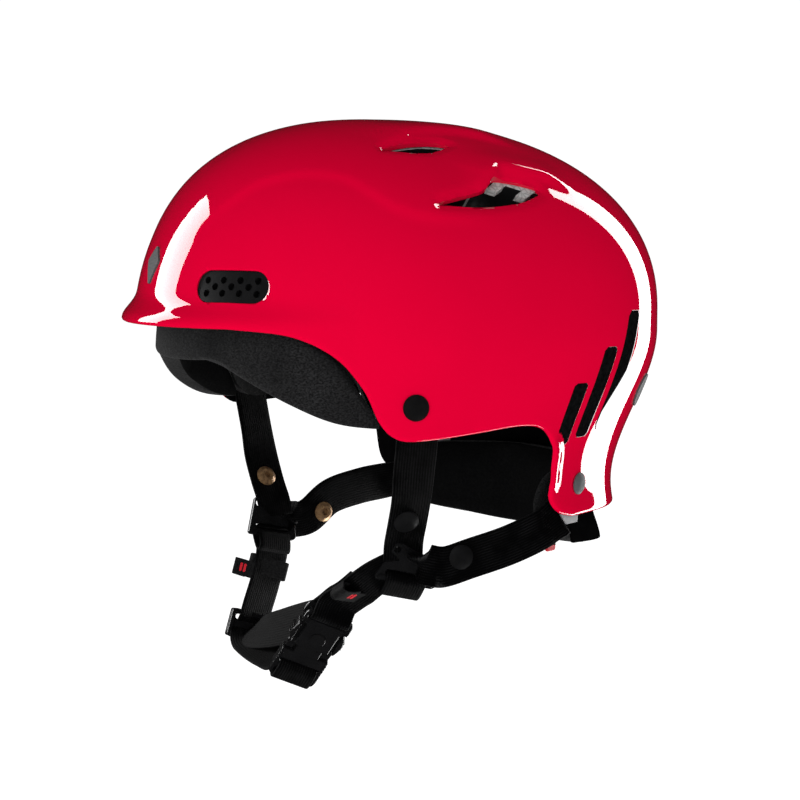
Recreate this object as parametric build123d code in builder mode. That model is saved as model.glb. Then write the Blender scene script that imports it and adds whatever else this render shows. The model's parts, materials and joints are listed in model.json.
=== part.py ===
"""Water helmet: hard dome shell with short brim, ear cut-outs and a deep nape, foam liner, comfort
pads, vent grilles, webbing harness with a side-release chin buckle, and a sliding nape cradle.

Units are millimetres.  +X is the wearer's left, -Y the face and +Z the crown.  The origin is the
middle of the head opening, level with the brim's lower edge.
"""
from build123d import *
from math import atan2, copysign, cos, degrees, radians, sin
import os

os.makedirs("parts", exist_ok=True)

# ---------------------------------------------------------------- driving dimensions
half_width = 111.0          # widest station of the shell, at the ears
front_reach = 121.7         # widest station to the forehead
rear_reach = 145.7          # widest station to the back of the head
crown = 97.5                # top of the shell over the brim's edge
equator_z = (-25.5, -15.6, 7.3)      # height of the fullest section: front, side, rear
plan_power = (2.0, 2.55)             # squareness of the plan curve: front, rear
dome_power = (2.5, 2.0, 2.2)         # squareness of the profile: front, side, rear
nape_tuck = 0.158           # share of the radius lost at the nape
tuck_top, tuck_depth = -8.0, 77.0    # height where the nape starts to draw in, and over how far
brim_flare = 6.5            # outward kick of the brim
brim_turn = 64.0            # degrees either side of the front over which the flare fades
brim_rise = 14.0            # height of the flare

shell_wall = 3.5
liner_out, liner_in = 4.2, 20.0      # depth of the foam's two faces under the shell's face
band_out, band_in = 8.0, 20.0        # soft band under the foam's front edge
pad_out, pad_in = 20.4, 27.0         # comfort pads on the foam's inner face
crown_pad_r, crown_pad_drop = 40.0, 9.7
strap_depth = 5.7           # depth of the strap ends that are fixed inside the shell
anchor_out, anchor_in = 7.0, 9.4     # grey anchor plates inside the tail
cradle_out, cradle_in = 13.0, 15.4   # cradle band, clear of the anchors when it slides up
nape_out, nape_in = 15.8, 23.5       # nape pad on the cradle
badge_t, film_t = 1.0, 0.25          # metal badges and printed films on the shell's face

webbing = 20.0              # strap width
webbing_t = 1.6             # strap thickness
ear_rivet_turn, ear_rivet_z = 76.6, -37.5
tail_rivet_turn, tail_rivet_z = 119.8, -81.0
ear_rivet_r, tail_rivet_r = 6.2, 5.4
rivet_shank_r, rivet_rise = 2.4, 2.6
snap_r, snap_rise = 6.0, 2.2
socket_r, socket_rise = 5.4, 2.4     # brass press-stud socket
stud_bore_r, stud_bore_depth = 2.0, 1.9

grille_turn, grille_z = 32.6, 17.6
grille_length, grille_height = 39.0, 15.0
grille_hole_r = 1.7
grille_pitch, grille_row = 9.2, 3.1
grille_out, grille_in = 0.5, 4.0

buckle_centre = (29.5, -47.0, -161.0)
buckle_along = (0.62, 0.20, 0.76)    # from the male half to the female half
buckle_face = (0.762, -0.385, -0.52)
buckle_width, buckle_t = 25.0, 8.4
mouth_depth, female_length, male_length = 17.0, 24.0, 24.0
prong_length, prong_t = 15.5, 3.6

lowest = -122.0
crown_flat = 0.5            # the crown is flat where the dome would rise by less than this
levels = (-104, -88, -72, -56, -40, -24, -10, 0, 7, 14, 26, 38, 50, 61, 71, 79, 86, 91, 94.5)
turns = range(0, 360, 15)


# ---------------------------------------------------------------- the dome
def smooth(share):
    share = min(max(share, 0.0), 1.0)
    return share * share * (3 - 2 * share)


def dome_point(turn, z, inset=0.0):
    """Point of the dome's face, sunk by inset; turn is in degrees from the face towards +X."""
    ahead, aside = cos(radians(turn)), sin(radians(turn))
    to_front, to_rear = max(ahead, 0.0) ** 2, max(-ahead, 0.0) ** 2
    fullest = equator_z[1] + (equator_z[0] - equator_z[1]) * to_front
    fullest += (equator_z[2] - equator_z[1]) * to_rear
    power = dome_power[1] + (dome_power[0] - dome_power[1]) * to_front
    power += (dome_power[2] - dome_power[1]) * to_rear
    plan = plan_power[0] if ahead > 0 else plan_power[1]
    height = min(max((z - fullest) / (crown - inset - fullest), 0.0), 1.0)
    shrink = (1 - height**power) ** (1 / power)
    off_front = abs(degrees(atan2(aside, ahead)))
    drawn_in = nape_tuck * smooth((tuck_top - z) / tuck_depth)
    drawn_in -= 0.012 * min(max((-85 - z) / 13, 0.0), 1.5) ** 2
    shrink *= 1 - smooth((off_front - 70) / 60) * drawn_in
    reach = front_reach if ahead > 0 else rear_reach
    x = (half_width - inset) * copysign(abs(aside) ** (2 / plan), aside) * shrink
    y = -(reach - inset) * copysign(abs(ahead) ** (2 / plan), ahead) * shrink
    fade = max(cos(radians(90 * min(off_front / brim_turn, 1.0))), 0.0)
    flare = brim_flare * fade * smooth((brim_rise - z) / brim_rise) ** 1.5
    return Vector(x + flare * 0.9 * aside, y - flare * ahead, z)


def face_plane(turn, z, side=1, inset=0.0):
    """Plane that touches the dome there: x level and rearwards, z outwards; side -1 is its mirror."""
    here = dome_point(turn, z, inset)
    level = (dome_point(turn + 2, z, inset) - dome_point(turn - 2, z, inset)).normalized()
    upright = (dome_point(turn, z + 2, inset) - dome_point(turn, z - 2, inset)).normalized()
    out = level.cross(upright).normalized()
    return Plane(
        origin=(side * here.X, here.Y, here.Z),
        x_dir=(side * level.X, level.Y, level.Z),
        z_dir=(side * out.X, out.Y, out.Z),
    )


def dome(inset, base=lowest):
    """Solid dome whose face lies inset under the shell's face, with a small flat at the crown."""
    rings = []
    top = crown - inset - crown_flat
    for z in (base, *[level for level in levels if level < top - 2], top):
        with BuildSketch(Plane.XY.offset(z)) as ring:
            with BuildLine():
                points = [dome_point(turn, z, inset) for turn in turns]
                Spline([(point.X, point.Y) for point in points], periodic=True)
            make_face()
        rings.append(ring.sketch.face())
    with BuildPart() as body:
        loft(sections=rings)
    return body.part


def layer(outer, inner):
    """Curved wall between two depths under the shell's face."""
    with BuildPart() as wall:
        add(dome(outer))
        add(dome(inner, lowest - 4), mode=Mode.SUBTRACT)
    return wall.part


def side_block(outline, half=150.0):
    """Block across the whole width whose side view is the region that outline() draws."""
    with BuildPart() as block:
        with BuildSketch(Plane.YZ):
            with BuildLine():
                outline()
            make_face()
        extrude(amount=half, both=True)
    return block.part


def shell_side():
    """Everything above the shell's lower edge: brim, temple, ear cut-out, tail."""
    edge = Spline(
        (-104, 0), (-80, -3.5), (-62, -13.5), (-50, -28.5), (-43.5, -43), (-37.5, -49.8),
        (-28, -51.9), (0, -50), (28, -47.6), (42.5, -50), (50, -58), (50.5, -72),
        (52, -85), (58, -92), (68, -95),
    )
    Polyline(edge @ 1, (160, -95), (160, 110), (-160, 110), (-160, 0), edge @ 0)


def liner_side():
    """Everything above the foam's lower edge, a little inside the shell's edge."""
    edge = Spline(
        (-104, 4), (-79, 0), (-59, -10.5), (-46.5, -27), (-40, -41), (-34, -46.5),
        (-20, -48), (0, -46.5), (30, -44), (46, -49), (60, -55),
    )
    Polyline(edge @ 1, (160, -55), (160, 110), (-160, 110), (-160, 4), edge @ 0)


def band_side():
    """The soft band: between the foam's front edge and the band's own lower edge."""
    upper = Spline((-104, 3.4), (-79, -0.8), (-59.5, -11.3), (-47.3, -27.6), (-41, -41.6))
    lower = Spline((-40, -48.5), (-58, -45.2), (-76, -37.5), (-94, -27.6), (-112, -20.5))
    Line(upper @ 1, lower @ 0)
    Polyline(lower @ 1, (-150, -17), (-150, 3.4), upper @ 0)


def rounded(plane, width, height, corner, depth=60.0):
    """Rounded block across a wall, centred on plane."""
    with BuildPart() as block:
        with BuildSketch(plane):
            RectangleRounded(width, height, corner)
        extrude(amount=depth / 2, both=True)
    return block.part


def round_rod(plane, radius, depth, both=True):
    with BuildPart() as rod:
        with BuildSketch(plane):
            Circle(radius)
        extrude(amount=depth, both=both)
    return rod.part


# ---------------------------------------------------------------- openings through shell and foam
side_vent_outline = ((-34, -7), (-12, -9.5), (10, -8.5), (31, -1), (14, 7), (-2, 10), (-12, 3))
top_vent_outline = ((-19, -3), (-9, -5.5), (3, -6.5), (12, -3.5), (19, 2), (10, 4.5), (-5, 2.5))


def vent_cut(side, turn, z, outline, share):
    """Leaf-shaped opening, square to the shell where it is cut; share is its size."""
    with BuildPart() as cut:
        with BuildSketch(face_plane(turn, z, side)):
            with BuildLine():
                Spline([(run * share, rise * side * share) for run, rise in outline], periodic=True)
            make_face()
        extrude(amount=32, both=True)
    return cut.part


def side_vent(side, share=1.0):
    return vent_cut(side, 99.5, 62.0, side_vent_outline, share)


def top_vent(side, share=1.0):
    return vent_cut(side, 89.0, 84.0, top_vent_outline, share)


sides = ((1, "left"), (-1, "right"))


def at(side, x, y, z):
    """Point on the wearer's left, or its mirror image."""
    return Vector(side * x, y, z)


def square_to(points, hint):
    """The direction nearest hint that is square to a strap's run from end to end."""
    along = (points[-1] - points[0]).normalized()
    return (hint - along * hint.dot(along)).normalized()


def ribbon(points, hint, width=webbing, thickness=webbing_t):
    """Flat strap through points; its width lies along hint, made square to the strap's run."""
    along = (points[-1] - points[0]).normalized()
    across = square_to(points, hint)
    plane = Plane(origin=points[0], x_dir=along, z_dir=across)
    flat = [plane.to_local_coords(point) for point in points]
    upper, lower = [], []
    for index, point in enumerate(flat):
        before = (point - flat[index - 1]).normalized() if index else None
        after = (flat[index + 1] - point).normalized() if index < len(flat) - 1 else before
        run = ((before or after) + after).normalized()
        reach = thickness / 2 / run.dot(after)
        upper.append((point.X - run.Y * reach, point.Y + run.X * reach))
        lower.append((point.X + run.Y * reach, point.Y - run.X * reach))
    with BuildPart() as strap:
        with BuildSketch(plane):
            with BuildLine():
                Polyline(*upper, *reversed(lower), close=True)
            make_face()
        extrude(amount=width / 2, both=True)
    return strap.part


def laid(points, across):
    """The points as ribbon() lays them: all in one plane, square to the strap's width."""
    return [point - across * (point - points[0]).dot(across) for point in points]


def on_strap(start, end, across, outward):
    """Plane half-way along a straight run of strap: x along it, z out of the face named."""
    along = (end - start).normalized()
    face = along.cross(across).normalized()
    if face.dot(outward) < 0:
        face = face * -1
    return Plane(origin=(start + end) * 0.5, x_dir=along, z_dir=face)


def turned(plane, outline):
    """Body of revolution about the plane's z axis; outline() draws (radius, height)."""
    upright = Plane(origin=plane.origin, x_dir=plane.x_dir, z_dir=plane.y_dir * -1)
    with BuildPart() as body:
        with BuildSketch(upright):
            with BuildLine():
                outline()
            make_face()
        revolve(axis=Axis(plane.origin, plane.z_dir))
    return body.part


def box_between(low, high):
    """Box square to the axes between two corners."""
    size = [high[axis] - low[axis] for axis in range(3)]
    with BuildPart(Plane(origin=low)) as box:
        Box(*size, align=(Align.MIN, Align.MIN, Align.MIN))
    return box.part


# ---------------------------------------------------------------- shell
with BuildPart() as shell:
    add(layer(0.0, shell_wall))
    add(side_block(shell_side), mode=Mode.INTERSECT)
    for side, name in sides:
        add(side_vent(side), mode=Mode.SUBTRACT)
        add(top_vent(side), mode=Mode.SUBTRACT)
        grille_plane = face_plane(grille_turn, grille_z, side)
        slot = rounded(grille_plane, grille_length + 0.4, grille_height + 0.4, 7.6)
        add(slot, mode=Mode.SUBTRACT)
        for turn, z in ((ear_rivet_turn, ear_rivet_z), (tail_rivet_turn, tail_rivet_z)):
            add(round_rod(face_plane(turn, z, side), rivet_shank_r + 0.1, 12), mode=Mode.SUBTRACT)
shell.part.label = "shell"
export_step(shell.part, "parts/shell.step")

# ---------------------------------------------------------------- foam liner
with BuildPart() as liner:
    add(dome(liner_out))
    add(side_block(liner_side), mode=Mode.INTERSECT)
    add(dome(liner_in, lowest - 4), mode=Mode.SUBTRACT)
    for side, name in sides:
        add(side_vent(side, 0.86), mode=Mode.SUBTRACT)
        add(top_vent(side, 0.86), mode=Mode.SUBTRACT)
        strap_pocket = rounded(face_plane(ear_rivet_turn, ear_rivet_z, side), 23, 30, 3, 18)
        add(strap_pocket, mode=Mode.SUBTRACT)
liner.part.label = "foam_liner"
export_step(liner.part, "parts/foam_liner.step")

# ---------------------------------------------------------------- soft band under the brim
with BuildPart() as brow_band:
    add(layer(band_out, band_in))
    add(side_block(band_side), mode=Mode.INTERSECT)
brow_band.part.label = "brow_band"
export_step(brow_band.part, "parts/brow_band.step")

# ---------------------------------------------------------------- comfort pads inside the foam
pad_layer = layer(pad_out, pad_in)
with BuildPart() as brow_pad:
    add(pad_layer)
    add(box_between((-58, -140, 6), (58, -58, 34)), mode=Mode.INTERSECT)
brow_pad.part.label = "brow_pad"
export_step(brow_pad.part, "parts/brow_pad.step")

with BuildPart() as rear_pad:
    add(pad_layer)
    add(box_between((-52, 70, -40), (52, 150, 18)), mode=Mode.INTERSECT)
rear_pad.part.label = "rear_pad"
export_step(rear_pad.part, "parts/rear_pad.step")

with BuildPart() as crown_pad:
    with BuildSketch(Plane.XZ):
        with BuildLine():
            top_arc = RadiusArc((0, 76.0), (crown_pad_r, 76.0 - crown_pad_drop), 88)
            low_arc = RadiusArc((0, 69.6), (crown_pad_r - 2, 69.6 - crown_pad_drop + 0.9), 88)
            Line(top_arc @ 1, low_arc @ 1)
            Line(top_arc @ 0, low_arc @ 0)
        make_face()
    revolve(axis=Axis.Z)
crown_pad.part.label = "crown_pad"
export_step(crown_pad.part, "parts/crown_pad.step")

for side, name in sides:
    with BuildPart() as side_pad:
        add(pad_layer)
        with BuildSketch(Plane.YZ, mode=Mode.PRIVATE) as window:
            with Locations((4, 0)):
                RectangleRounded(92, 40, 12)
        extrude(window.sketch, amount=side * 130, mode=Mode.INTERSECT)
    side_pad.part.label = f"{name}_side_pad"
    export_step(side_pad.part, f"parts/{name}_side_pad.step")

# ---------------------------------------------------------------- brim grilles
grille_layer = layer(grille_out, grille_in)
for side, name in sides:
    grille_plane = face_plane(grille_turn, grille_z, side)
    with BuildPart() as grille:
        add(grille_layer)
        add(rounded(grille_plane, grille_length, grille_height, 7.4), mode=Mode.INTERSECT)
        with BuildSketch(grille_plane, mode=Mode.PRIVATE) as holes:
            for count, rows in ((4, (-grille_row, grille_row)), (3, (0,))):
                for row in rows:
                    with Locations((0, row)):
                        with GridLocations(grille_pitch, 1, count, 1):
                            Circle(grille_hole_r)
        extrude(holes.sketch, amount=20, both=True, mode=Mode.SUBTRACT)
    grille.part.label = f"{name}_vent_grille"
    export_step(grille.part, f"parts/{name}_vent_grille.step")

# ---------------------------------------------------------------- badges and printed films
badge_layer = layer(-badge_t - 0.05, -0.05)
with BuildPart() as front_badge:
    add(badge_layer)
    with BuildSketch(face_plane(0, 25.6), mode=Mode.PRIVATE) as diamond:
        with BuildLine():
            Polyline((0, -10.5), (7, 2.5), (0, 10.5), (-7, 2.5), close=True)
        make_face()
        fillet(diamond.vertices(), radius=1.5)
    extrude(diamond.sketch, amount=12, both=True, mode=Mode.INTERSECT)
front_badge.part.label = "front_badge"
export_step(front_badge.part, "parts/front_badge.step")

film_layer = layer(-film_t - 0.05, -0.05)
for side, name in sides:
    with BuildPart() as rear_badge:
        add(badge_layer)
        add(round_rod(face_plane(145, -38, side), 8.7, 12), mode=Mode.INTERSECT)
    rear_badge.part.label = f"{name}_rear_badge"
    export_step(rear_badge.part, f"parts/{name}_rear_badge.step")

    with BuildPart() as stripes:
        add(film_layer)
        with BuildSketch(Plane.YZ, mode=Mode.PRIVATE) as bars:
            for foot, height in ((50, 30), (64, 44), (78, 58)):
                with BuildLine():
                    low, lean = -66 + height * 0.2, height * 0.3
                    Polyline(
                        (foot, low), (foot + 9, low), (foot + 9 + lean, low + height),
                        (foot + lean, low + height), close=True,
                    )
                make_face()
        extrude(bars.sketch, amount=side * 130, mode=Mode.INTERSECT)
    stripes.part.label = f"{name}_side_stripes"
    export_step(stripes.part, f"parts/{name}_side_stripes.step")

# ---------------------------------------------------------------- rivets
for side, name in sides:
    def ear_rivet_outline():
        head_depth = -(strap_depth + webbing_t / 2 + 0.6)
        Polyline((ear_rivet_r, 0.7), (ear_rivet_r, 0.05), (rivet_shank_r, 0.05),
                 (rivet_shank_r, head_depth), (5.0, head_depth), (5.0, head_depth - 1.2),
                 (0, head_depth - 1.2), (0, rivet_rise))
        ThreePointArc((0, rivet_rise), (ear_rivet_r * 0.62, rivet_rise * 0.8), (ear_rivet_r, 0.7))

    with BuildPart() as ear_rivet:
        add(turned(face_plane(ear_rivet_turn, ear_rivet_z, side), ear_rivet_outline))
    ear_rivet.part.label = f"{name}_ear_rivet"
    export_step(ear_rivet.part, f"parts/{name}_ear_rivet.step")

    def tail_rivet_outline():
        Polyline((tail_rivet_r, 1.0), (tail_rivet_r, 0.5), (rivet_shank_r, 0.5),
                 (rivet_shank_r, 0.8 - anchor_in), (0, 0.8 - anchor_in), (0, rivet_rise))
        ThreePointArc((0, rivet_rise), (tail_rivet_r * 0.62, rivet_rise * 0.85), (tail_rivet_r, 1.0))

    with BuildPart() as tail_rivet:
        add(turned(face_plane(tail_rivet_turn, tail_rivet_z, side), tail_rivet_outline))
    tail_rivet.part.label = f"{name}_tail_rivet"
    export_step(tail_rivet.part, f"parts/{name}_tail_rivet.step")

# ---------------------------------------------------------------- tail anchors
anchor_layer = layer(anchor_out, anchor_in)
for side, name in sides:
    with BuildPart() as anchor:
        add(anchor_layer)
        with BuildSketch(Plane.YZ, mode=Mode.PRIVATE) as plate:
            with Locations((78, -84)):
                RectangleRounded(18, 42, 4)
        extrude(plate.sketch, amount=side * 130, mode=Mode.INTERSECT)
        shank_hole = round_rod(face_plane(tail_rivet_turn, tail_rivet_z, side), 2.5, 12)
        add(shank_hole, mode=Mode.SUBTRACT)
    anchor.part.label = f"{name}_tail_anchor"
    export_step(anchor.part, f"parts/{name}_tail_anchor.step")

# ---------------------------------------------------------------- nape cradle, its pad and tabs
tab_low, tab_high, tab_front, tab_back = -116.5, -108.0, 62.0, 75.0
with BuildPart() as cradle:
    add(layer(cradle_out, cradle_in))
    with BuildSketch(Plane.YZ, mode=Mode.PRIVATE) as band:
        with BuildLine():
            Polyline((58, -92), (70, -78), (160, -72), (160, -120), (84, -113), (58, -111), close=True)
        make_face()
    extrude(band.sketch, amount=150, both=True, mode=Mode.INTERSECT)
    notch_low, notch_high = (-150, tab_front - 0.4, -122), (150, tab_back + 0.4, tab_high + 3.2)
    add(box_between(notch_low, notch_high), mode=Mode.SUBTRACT)
cradle.part.label = "nape_cradle"
export_step(cradle.part, "parts/nape_cradle.step")

with BuildPart() as nape_pad:
    add(layer(nape_out, nape_in))
    with BuildSketch(Plane.YZ, mode=Mode.PRIVATE) as cushion:
        with BuildLine():
            Polyline((54, -90), (66, -76), (160, -74), (160, -119), (84, -114), (54, -106), close=True)
        make_face()
    extrude(cushion.sketch, amount=150, both=True, mode=Mode.INTERSECT)
nape_pad.part.label = "nape_pad"
export_step(nape_pad.part, "parts/nape_pad.step")

tab_layer = layer(cradle_out + 0.3, cradle_in - 0.4)
for side, name in sides:
    with BuildPart() as tab:
        add(tab_layer)
        low, high = at(side, 0, tab_front, tab_low), at(side, 140, tab_back, tab_high)
        add(box_between((min(low.X, high.X), low.Y, low.Z), (max(low.X, high.X), high.Y, high.Z)),
            mode=Mode.INTERSECT)
    tab.part.label = f"{name}_release_tab"
    export_step(tab.part, f"parts/{name}_release_tab.step")

# ---------------------------------------------------------------- harness straps
divider_y, divider_z, divider_x = -20.0, -117.0, 79.5
divider_size, divider_t = 26.0, 3.4
for side, name in sides:
    outward = Vector(side, 0, 0)
    rivet_plane = face_plane(ear_rivet_turn, ear_rivet_z, side)
    level = rivet_plane.x_dir
    upper = [dome_point(ear_rivet_turn, ear_rivet_z + rise, strap_depth) for rise in (9, -13)]
    front_run = [at(side, point.X, point.Y, point.Z) for point in upper]
    front_run += [at(side, 92.5, -24.5, -82), at(side, 80.5, -21.5, divider_z + 13.6)]
    snap_at = on_strap(front_run[2], front_run[3], square_to(front_run, level), outward)
    rear_run = [at(side, 79.7, -2.6, -116.4), at(side, 83.5, 20, -109.9), at(side, 87.0, 46, -102.0)]
    rear_ends = [dome_point(turn, z, strap_depth - 0.5) for turn, z in ((113, -97.5), (121, -94.0))]
    rear_run += [at(side, point.X, point.Y, point.Z) for point in rear_ends]
    rear_across = square_to(rear_run, Vector(0, -0.273, 0.962))
    rear_snap_at = on_strap(rear_run[0], rear_run[1], rear_across, outward)

    with BuildPart() as front_strap:
        add(ribbon(front_run, level))
        add(round_rod(rivet_plane, rivet_shank_r + 0.1, 12), mode=Mode.SUBTRACT)
        add(round_rod(snap_at, 1.6, 5), mode=Mode.SUBTRACT)
    front_strap.part.label = f"{name}_front_strap"
    export_step(front_strap.part, f"parts/{name}_front_strap.step")

    with BuildPart() as rear_strap:
        add(ribbon(rear_run, rear_across))
        add(round_rod(rear_snap_at, 1.6, 5), mode=Mode.SUBTRACT)
    rear_strap.part.label = f"{name}_rear_strap"
    export_step(rear_strap.part, f"parts/{name}_rear_strap.step")

    # press studs: a plastic cap outside each strap and a brass socket on its inner face
    def cap_outline():
        Polyline((snap_r, webbing_t / 2 + 0.9), (snap_r, webbing_t / 2 + 0.12),
                 (1.4, webbing_t / 2 + 0.12), (1.4, -webbing_t / 2), (0, -webbing_t / 2),
                 (0, webbing_t / 2 + snap_rise))
        ThreePointArc((0, webbing_t / 2 + snap_rise), (snap_r * 0.65, webbing_t / 2 + snap_rise * 0.86),
                      (snap_r, webbing_t / 2 + 0.9))

    def socket_outline():
        back, mouth = -webbing_t / 2 - 0.12, -webbing_t / 2 - 0.12 - socket_rise
        Polyline((0, back), (socket_r, back), (socket_r, back - 0.8), (3.4, mouth),
                 (stud_bore_r, mouth), (stud_bore_r, mouth + stud_bore_depth),
                 (0, mouth + stud_bore_depth), close=True)

    with BuildPart() as caps:
        for plane in (snap_at, rear_snap_at):
            add(turned(plane, cap_outline))
    caps.part.label = f"{name}_snap_caps"
    export_step(caps.part, f"parts/{name}_snap_caps.step")

    with BuildPart() as sockets:
        for plane in (snap_at, rear_snap_at):
            add(turned(plane, socket_outline))
            mouth = plane.origin - plane.z_dir * (webbing_t / 2 + 0.12 + socket_rise)
            print(name, "socket mouth", tuple(mouth), "axis", tuple(plane.z_dir * -1))
    sockets.part.label = f"{name}_snap_sockets"
    export_step(sockets.part, f"parts/{name}_snap_sockets.step")

    # three-slot divider where the two straps meet the chin strap
    divider_plane = Plane(origin=(side * divider_x, divider_y, divider_z),
                          x_dir=(0, 1, 0), z_dir=(side, 0, 0))
    with BuildPart() as divider:
        with BuildSketch(divider_plane):
            RectangleRounded(divider_size, divider_size, 4)
            with Locations((0, side * 8.4)):
                SlotOverall(21, 3.2, mode=Mode.SUBTRACT)
            with Locations((8.4, side * -2.4)):
                SlotOverall(17, 3.2, rotation=90, mode=Mode.SUBTRACT)
            with Locations((-6.6, side * -2.4)):
                SlotOverall(17, 3.2, rotation=90, mode=Mode.SUBTRACT)
        extrude(amount=divider_t / 2, both=True)
    divider.part.label = f"{name}_strap_divider"
    export_step(divider.part, f"parts/{name}_strap_divider.step")

# ---------------------------------------------------------------- chin buckle
buckle = Plane(origin=buckle_centre, x_dir=buckle_along, z_dir=buckle_face)
gap_height = prong_t + 1.0


def buckle_box(x_from, x_to, y_from, y_to, height):
    """Block in the buckle's own frame, centred on its mid plane."""
    with BuildPart() as block:
        with BuildSketch(buckle):
            with Locations(((x_from + x_to) / 2, (y_from + y_to) / 2)):
                Rectangle(x_to - x_from, y_to - y_from)
        extrude(amount=height / 2, both=True)
    return block.part


half_buckle = buckle_width / 2
with BuildPart() as female:
    with BuildSketch(buckle):
        with Locations((female_length / 2, 0)):
            RectangleRounded(female_length, buckle_width, 3)
    extrude(amount=buckle_t / 2, both=True)
    add(buckle_box(-1, mouth_depth, -20, 20, gap_height), mode=Mode.SUBTRACT)
    add(buckle_box(19, 21.4, -10.4, 10.4, 20), mode=Mode.SUBTRACT)
    for guide in (4.2, -4.2):
        add(buckle_box(3, mouth_depth + 0.1, guide - 0.4, guide + 0.4, gap_height + 0.2))
female.part.label = "buckle_female"
export_step(female.part, "parts/buckle_female.step")

with BuildPart() as male:
    with BuildSketch(buckle):
        with Locations((-male_length / 2 - 0.3, 0)):
            RectangleRounded(male_length - 0.6, buckle_width, 3)
    extrude(amount=2.8, both=True)
    for slot in (-20.5, -13.5):
        add(buckle_box(slot - 1.3, slot + 1.3, -10.4, 10.4, 20), mode=Mode.SUBTRACT)
    add(buckle_box(-5.5, -0.2, -20, 20, 20), mode=Mode.SUBTRACT)
    add(buckle_box(-5.6, 13.0, -3.2, 3.2, prong_t))
male.part.label = "buckle_male"
export_step(male.part, "parts/buckle_male.step")

for side, name in sides:
    with BuildPart() as prong:
        with BuildSketch(buckle):
            with BuildLine():
                Spline((-5.1, side * 11.6), (2, side * 11.9), (8, side * 13.6), (12.5, side * 12.6),
                       (prong_length, side * 8.5))
                Polyline((prong_length, side * 8.5), (prong_length - 1, side * 7.0), (-2, side * 7.4),
                         (-5.1, side * 7.4), (-5.1, side * 11.6))
            make_face()
        extrude(amount=prong_t / 2, both=True)
    prong.part.label = f"{name}_buckle_prong"
    export_step(prong.part, f"parts/{name}_buckle_prong.step")

# ---------------------------------------------------------------- chin straps, keepers and slider
across_buckle = buckle.y_dir
female_end = Vector(*buckle_centre) + buckle.x_dir * (female_length + 1.8)
strap_bend = female_end + buckle.x_dir * 6
left_run = [Vector(75.4, -27.5, -118.5), Vector(70.0, -34.5, -122.5), strap_bend, female_end]
with BuildPart() as left_chin_strap:
    add(ribbon(left_run, across_buckle))
left_chin_strap.part.label = "left_chin_strap"
export_step(left_chin_strap.part, "parts/left_chin_strap.step")

right_run = [Vector(-79.2, -24.5, -134.2), Vector(-78.7, -27.5, -140.5), Vector(-74.6, -39.4, -160.0)]
right_across = Vector(-0.2, 0.9, -0.4)
with BuildPart() as right_chin_strap:
    add(ribbon(right_run, right_across))
right_chin_strap.part.label = "right_chin_strap"
export_step(right_chin_strap.part, "parts/right_chin_strap.step")

webbing_start = Vector(*buckle_centre) - buckle.x_dir * 17 - buckle.z_dir * 6.2
webbing_run = [webbing_start, Vector(0, -50.5, -175.5), Vector(-30, -49.5, -177.5),
               Vector(-55, -47.5, -175.5), Vector(-69.5, -45.6, -172.5)]
with BuildPart() as chin_webbing:
    add(ribbon(webbing_run, Vector(0.05, 0.95, 0.25)))
chin_webbing.part.label = "chin_webbing"
export_step(chin_webbing.part, "parts/chin_webbing.step")


def keeper_loop(plane, length=10.0):
    """Elastic loop round a strap: a flat sleeve with a slot for two layers of webbing."""
    with BuildPart() as loop:
        with BuildSketch(plane):
            RectangleRounded(length, webbing + 4.4, 1.5)
        extrude(amount=(webbing_t + 3.6) / 2, both=True)
        with BuildSketch(plane, mode=Mode.PRIVATE) as slot:
            Rectangle(length + 2, webbing + 1.0)
        extrude(slot.sketch, amount=(webbing_t + 1.0) / 2, both=True, mode=Mode.SUBTRACT)
    return loop.part


left_across = square_to(left_run, across_buckle)
left_laid = laid(left_run, left_across)
left_keeper_at = on_strap(left_laid[1], left_laid[2], left_across, Vector(1, 0, -1))
right_across = square_to(right_run, right_across)
right_laid = laid(right_run, right_across)
right_keeper_at = on_strap(right_laid[1], right_laid[2], right_across, Vector(-1, 0, 0))
for name, plane in (("left", left_keeper_at), ("right", right_keeper_at)):
    with BuildPart() as keeper:
        add(keeper_loop(plane))
    keeper.part.label = f"{name}_strap_keeper"
    export_step(keeper.part, f"parts/{name}_strap_keeper.step")
    print(name, "keeper axis", tuple(plane.x_dir), "at", tuple(plane.origin))

slider_plane = Plane(origin=(-73.4, -42.6, -168.5), x_dir=(0.12, -0.33, -0.94), z_dir=(-1, 0, -0.13))
with BuildPart() as chin_slider:
    with BuildSketch(slider_plane):
        RectangleRounded(15, 27, 2.5)
        for offset_along in (-3.6, 3.6):
            with Locations((offset_along, 0)):
                SlotOverall(21.4, 2.8, rotation=90, mode=Mode.SUBTRACT)
    extrude(amount=1.5, both=True)
chin_slider.part.label = "chin_slider"
export_step(chin_slider.part, "parts/chin_slider.step")
print("buckle axes", tuple(buckle.x_dir), tuple(buckle.y_dir), tuple(buckle.z_dir))
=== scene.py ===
"""Looks of the water helmet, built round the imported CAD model.

Lengths are worked out in millimetres, in the CAD model's own frame (+X the wearer's left, -Y the
face, +Z the crown), and turned into metres where a mesh is made.
"""
import json
import math

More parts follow.
